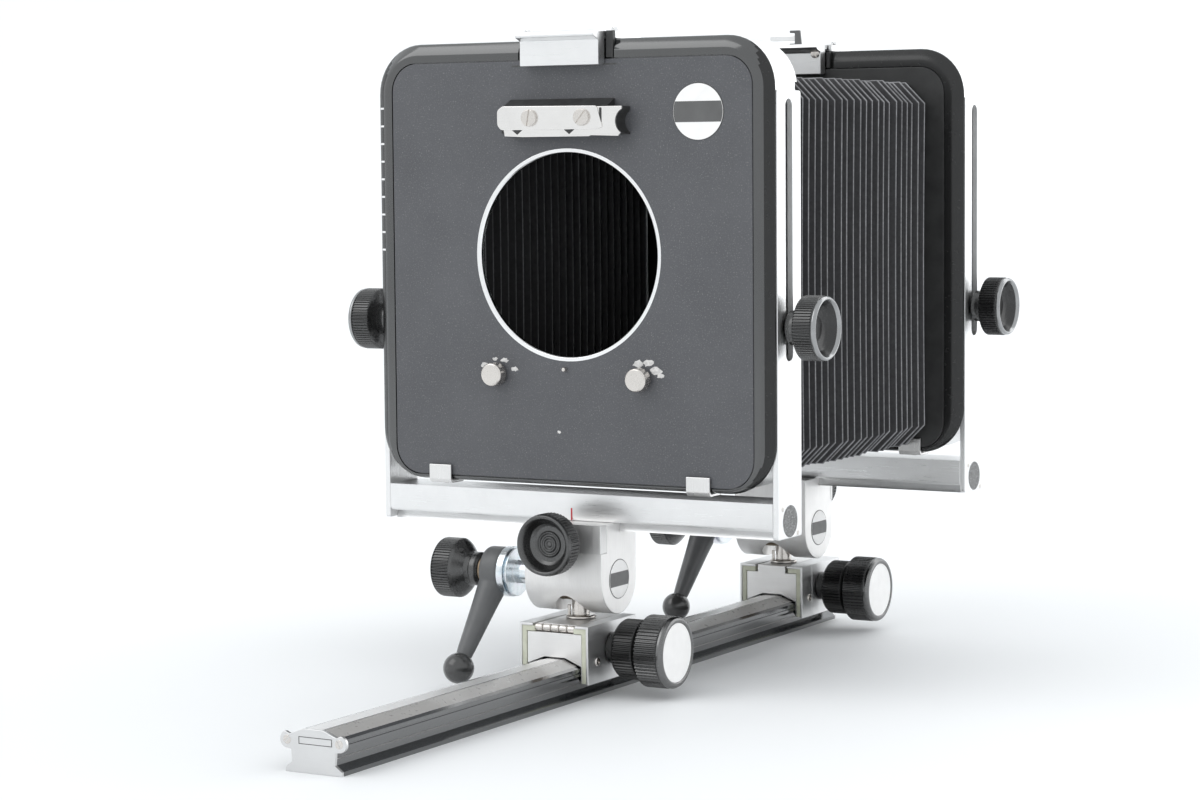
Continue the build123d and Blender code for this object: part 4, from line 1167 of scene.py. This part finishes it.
def make_board_bracket(face, body):
    """The plate over a dark wedge that holds a lens panel's top edge."""
    low, high = cad("board_bracket")
    wedge_outline = [(face, 231.6), (face - 7.4, 232.6), (face - 7.4, 243.1), (face, 246.6)]
    wedge = plate("wedge", [wedge_outline], 49.8, right_plane(low.x + 1.2), edge=0.25)
    wing_outline = [(face, 231.6), (face - 7.4, 232.6), (face - 7.4, 243.1), (face, 243.1)]
    wing = plate("wing", [wing_outline], high.x - 0.6 - 22.8, right_plane(22.8), edge=0.25)
    lower = [(low.x + 3.3, 231.4), (low.x + 12.4, 231.0), (high.x - 15.2, 231.0),
        (high.x - 14.4, 231.4), (high.x - 1.7, 231.0), (high.x, 233.0), (high.x, 243.1),
        (low.x + 1.0, 243.1)]
    lower_plate = plate("lower", [lower], 1.1, front_plane(face - 7.2), edge=0.2)
    upper = soften([(low.x, 236.0), (low.x + 1.8, 233.9), (19.5, 233.9), (22.0, 234.6), (19.4, 243.4),
        (low.x + 2.4, 243.8), (low.x, 242.0)], 1.0, closed=True)
    upper_plate = plate("upper", [upper], 0.9, front_plane(face - 8.0), edge=0.25)
    parts = [look(wedge, "trim"), look(upper_plate, "bracket")]
    for piece, finish in ((wing, "trim"), (lower_plate, "bracket")):
        bite = lathe("bite", (high.x + 2.5, face - 12, 237.0), (0, 1, 0),
            [(0, 0), (0, 5.5), (14, 5.5), (14, 0)], steps=48)
        parts.append(look(cut(piece, bite), finish))
    groove_line = plate("bend", [box_outline((20.4, 21.4), (234.6, 242.6), 0.3)], 0.4,
        front_plane(face - 8.1), edge=0.05)
    parts.append(look(groove_line, "trim"))
    for x in (-18.6, 6.2):
        tooth = plate("tooth", [[(x - 2.6, 234.0), (x + 2.6, 234.0), (x, 232.0)]], 0.3,
            front_plane(face - 8.15), edge=0.05)
        parts.append(look(tooth, "trim"))
    place(join("panel_bracket", parts), body, "board_bracket")

    studs = []
    for x, turn in ((-12.3, 35), (12.5, 5)):
        studs.append(slotted_screw("bracket_screw", (x, face - 8.8, 238.8), (0, -1, 0), 3.5, 1.4, turn))
    for x, z in ((-34.3, 132.4), (34.6, 132.0)):
        post = lathe("post", (x, face, z), (0, -1, 0), [(0, 0), (0, 3.6), (1.2, 3.6), (1.2, 4.9),
            (5.7, 4.9), (6.3, 4.3), (6.3, 0)], steps=64, soft=0.3)
        studs.append(look(post, "nickel"))
    pin = lathe("pin", (-1.5, face, 135.1), (0, -1, 0), [(0, 0), (0, 1.0), (2.0, 0.8), (2.0, 0)],
        steps=24, soft=0.3)
    studs.append(look(pin, "nickel"))
    place(join("board_posts", studs), body, "board_studs")


# ---- bellows --------------------------------------------------------------------------------

BELLOWS_HALF, BELLOWS_Z, BELLOWS_CUT = 78.0, (89.5, 256.0), 9.5
FOLD_DEPTH = 8.0
FOLD_HALF_TOTAL = 52
SKIN = 1.0
HALF_FOLDS = (5, 3, 9, 5, 4)  # folds between two links of the chain, counted in half folds


def bellows_section(inset, y, pieces_per_side=10):
    """The points of a rectangle with cut corners, shrunk by inset."""
    half = BELLOWS_HALF - inset
    low, high = BELLOWS_Z[0] + inset, BELLOWS_Z[1] - inset
    c = BELLOWS_CUT
    corners = [(half - c, low), (half, low + c), (half, high - c), (half - c, high), (c - half, high),
        (-half, high - c), (-half, low + c), (c - half, low)]
    points = []
    for i, (x, z) in enumerate(corners):
        nx, nz = corners[(i + 1) % 8]
        count = 1 if abs(nx - x) < 2 * c and abs(nz - z) < 2 * c else pieces_per_side
        for k in range(count):
            t = k / count
            bow = 0.5 * math.sin(math.pi * t) if count > 1 else 0.0
            px, pz = x + (nx - x) * t, z + (nz - z) * t
            if abs(nx - x) < 1e-6:
                px -= math.copysign(bow, px)
            elif abs(nz - z) < 1e-6:
                pz -= bow if pz > 170 else -bow
            points.append((px, y, pz))
    return points


# Rings of a fold tip: shift along the bellows, drop from the crest, and how grey the tip is, which is rubbed
# wear and painted highlight.
TIP = ((-0.3, 0.5, 0.0), (-0.16, 0.15, 1.0), (0.0, 0.0, 1.0), (0.16, 0.15, 1.0), (0.3, 0.5, 0.0))


def fold_rings(y0, pitch, first, last, draws):
    """(y, inset, outer rub and painted highlight, inner painted highlight) for the rings between two
    half-fold numbers.

    Odd folds stand out and even folds point in, and each has a rounded tip of five rings.
    """
    result = []
    for k in range(first, last + 1):
        lean, proud, inner_highlight_strength = draws[k]
        for shift, drop, rub_and_highlight in TIP:
            if (k == first and shift < 0) or (k == last and shift > 0):
                continue
            # Outer tips are grey from rubbing plus a painted highlight; inner tips get a painted highlight
            # only, at a random strength per fold.
            if k % 2:
                result.append((y0 + k * pitch + lean + shift, proud + drop, rub_and_highlight, 0.0))
            else:
                result.append((y0 + k * pitch + shift, FOLD_DEPTH - 0.1 - drop, 0.0, rub_and_highlight * inner_highlight_strength))
    return result


def make_bellows_piece(name, folds):
    """A stretch of bellows between the two bodies."""
    outer = [bellows_section(fold[1], fold[0]) for fold in folds]
    inner = [bellows_section(fold[1] + SKIN, fold[0]) for fold in reversed(folds)]
    piece = rings(name, outer + inner, closed=True)
    look(piece, "cloth")
    # Per ring, how grey its tips are: rubbed wear and painted highlight outside, painted highlight inside.
    rub_and_highlight = [fold[2] for fold in folds] + [fold[3] for fold in reversed(folds)]
    per_ring = len(outer[0])
    values = [w for w in rub_and_highlight for _ in range(per_ring)]
    attribute = piece.data.attributes.new("rub_and_highlight", "FLOAT", "POINT")
    attribute.data.foreach_set("value", values)
    tidy(piece, sharp=30)
    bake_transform(piece)
    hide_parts("bellows")


def make_bellows():
    low, high = cad("bellows")
    y0 = low.y
    y1 = STANDARD_Y["rear"] - RIM_FACE
    pitch = (y1 - y0) / FOLD_HALF_TOTAL
    draw = random.Random(7)
    # Per fold: its lean, how far it stands proud, and the strength of the painted highlight on its inner
    # tip.
    draws = [(draw.uniform(-0.45, 0.45), draw.uniform(0.0, 0.9),
        draw.uniform(0.4, 1.0)) for _ in range(FOLD_HALF_TOTAL + 1)]
    counts = HALF_FOLDS + HALF_FOLDS[::-1]
    first = 0
    for i, count in enumerate(counts):
        last = first + count
        folds = fold_rings(y0, pitch, first, last, draws)
        make_bellows_piece(f"bellows_{i + 1:02d}", folds)
        first = last


def make_bellows_plates():
    """The black plates that carry the bellows' ends in the two frames."""
    outline = round_rect(BOARD_HALF, BOARD_Z, BOARD_R, steps=10)
    mouth = soften([(-69, 98.5), (69, 98.5), (69, 247.0), (-69, 247.0)], 12, closed=True)
    for which in SIDES:
        low, high = cad(f"{which}_bellows_plate")
        made = plate(f"{which}_bellows_frame", [outline, mouth], high.y - low.y, front_plane(high.y), 0.3)
        place(look(made, "trim"), f"{which}_format_frame", f"{which}_bellows_plate")


# ---- ground-glass back ----------------------------------------------------------------------


def make_back():
    middle = 173.0
    low, high = cad("back_plate")
    outline = round_rect(BOARD_HALF, BOARD_Z, BOARD_R, steps=10)
    window = box_outline((-62, 62), (middle - 50, middle + 50), 1.5)
    made = plate("back_panel", [outline, window], high.y - low.y, front_plane(high.y), 0.35)
    place(look(made, "board"), "rear_format_frame", "back_plate")

    low, high = cad("glass_holder")
    frame_outline = round_rect(75.0, (middle - 63, middle + 63), 4.0, steps=6)
    glass_window = box_outline((-62, 62), (middle - 49, middle + 49), 2.0)
    rebate = box_outline((-64.2, 64.2), (middle - 51.2, middle + 51.2))
    step_y = 199.6
    rear = sheet("rim", [frame_outline, glass_window], high.y - step_y, front_plane(high.y), 0.5)
    ahead = sheet("rim", [frame_outline, rebate], step_y - low.y - 0.01, front_plane(step_y - 0.01), 0.1)
    parts = [rear, ahead]
    for x in (-69.0, 69.0):
        for z in (middle - 45, middle, middle + 45):
            parts.append(slotted_screw("holder_screw", (x, high.y - 0.15, z), (0, 1, 0), 1.9, 0.45, x + z))
    place(join("viewing_frame", parts), "glass_back", "glass_holder")

    low, high = cad("ground_glass")
    pane = plate("focusing_glass", [box_outline((low.x, high.x), (low.z, high.z), 1.0)], high.y - low.y,
        front_plane(high.y), 0.25)
    place(look(pane, "glass"), "glass_back", "ground_glass")

    low, high = cad("back_springs")
    parts = []
    for side in (-1, 1):
        z = middle + side * 70.0
        leaf = [(-60, z - 3.2), (-48, z - 4.5), (48, z - 4.5), (60, z - 3.2), (60, z + 3.2),
            (48, z + 4.5), (-48, z + 4.5), (-60, z + 3.2)]
        parts.append(sheet("nickel", [leaf], 0.8, front_plane(low.y + 0.8), 0.15))
        for x in (-54.0, 54.0):
            parts.append(slotted_screw("leaf_screw", (x, low.y + 0.75, z), (0, 1, 0), 2.6, 1.6, 60 + x))
    place(join("leaf_springs", parts), "rear_format_frame", "back_springs")


# ---- stage, light and camera ----------------------------------------------------------------


def make_stage():
    """A pale floor that curves up into a backdrop."""
    depth, radius, height, half = 1.5, 1.6, 3.0, 7.0
    profile = [(-6.0, 0.0), (depth, 0.0)]
    profile += [(depth + radius * math.sin(a),
        radius - radius * math.cos(a)) for a in [math.radians(6 * i) for i in range(1, 16)]]
    profile.append((depth + radius, height))
    corners = [(x * 1000, y * 1000, z * 1000) for y, z in profile for x in (-half, half)]
    faces = [(2 * i, 2 * i + 1, 2 * i + 3, 2 * i + 2) for i in range(len(profile) - 1)]
    floor = solid("pale_floor", corners, faces)
    for face in floor.data.polygons:
        face.use_smooth = True
    turn = Matrix.Rotation(math.radians(CAMERA_AZIMUTH), 4, "Z")
    floor.data.transform(turn)
    look_white = flat_colour("pale_paper", grey(0.91, -0.01), grey(0.93, -0.01), 0.6, size=900.0)
    floor.data.materials.append(look_white)


def add_light(name, spot, target, size, power):
    lamp = bpy.data.lights.new(name, "AREA")
    lamp.shape = "RECTANGLE"
    lamp.size, lamp.size_y = size
    lamp.energy = power
    holder = bpy.data.objects.new(name, lamp)
    holder.location = spot
    direction = Vector(target) - Vector(spot)
    holder.rotation_euler = direction.to_track_quat("-Z", "Y").to_euler()
    bpy.context.scene.collection.objects.link(holder)


def make_light():
    world = bpy.data.worlds.new("white_tent")
    world.use_nodes = True
    background = world.node_tree.nodes["Background"]
    background.inputs["Color"].default_value = (0.96, 0.985, 1.0, 1.0)
    background.inputs["Strength"].default_value = 1.02
    bpy.context.scene.world = world
    middle = (0.0, 0.08, 0.14)
    add_light("key", (-1.1, -1.3, 1.7), middle, (1.6, 1.6), 11)
    add_light("side", (1.5, 2.0, 0.8), middle, (2.0, 1.6), 11)
    add_light("back", (0.4, 2.0, 1.9), middle, (2.2, 1.2), 10)


CAMERA_AZIMUTH = 29.8
CAMERA_ELEVATION = 4.585
CAMERA_ROLL = -0.483
CAMERA_SPOT = (615.18, -1071.64, 219.83)


def make_camera():
    azimuth, elevation, roll = (math.radians(a) for a in (CAMERA_AZIMUTH, CAMERA_ELEVATION, CAMERA_ROLL))
    back = Vector((math.sin(azimuth) * math.cos(elevation), -math.cos(azimuth) * math.cos(elevation),
        math.sin(elevation)))
    right = Vector((math.cos(azimuth), math.sin(azimuth), 0))
    up = right.cross(-back)
    turned_right = right * math.cos(roll) + up * math.sin(roll)
    turned_up = up * math.cos(roll) - right * math.sin(roll)
    lens = bpy.data.cameras.new("camera")
    lens.lens = 88.36
    lens.sensor_width = 36.0
    lens.clip_end = 100.0
    holder = bpy.data.objects.new("camera", lens)
    basis = Matrix((turned_right, turned_up, back)).transposed().to_4x4()
    holder.matrix_world = Matrix.Translation(Vector(CAMERA_SPOT) * MM) @ basis
    bpy.context.scene.collection.objects.link(holder)
    bpy.context.scene.camera = holder
    bpy.context.scene.view_settings.view_transform = "Standard"


# ---- build ----------------------------------------------------------------------------------

make_camera()
make_stage()
make_light()
make_rail()
make_end_caps()
for which in SIDES:
    make_carrier(which)
    make_neck(which)
    make_tilt_block(which)
    make_lever(which)
    make_tilt_knob(which)
    make_shift_knob(which)
    make_standard(which)
    make_rim(which)
    make_band(which)
    make_locks(which)
    make_clips(which)
    make_rise_knobs(which)
make_top_hook()
make_lens_board()
make_bellows()
make_bellows_plates()
make_back()
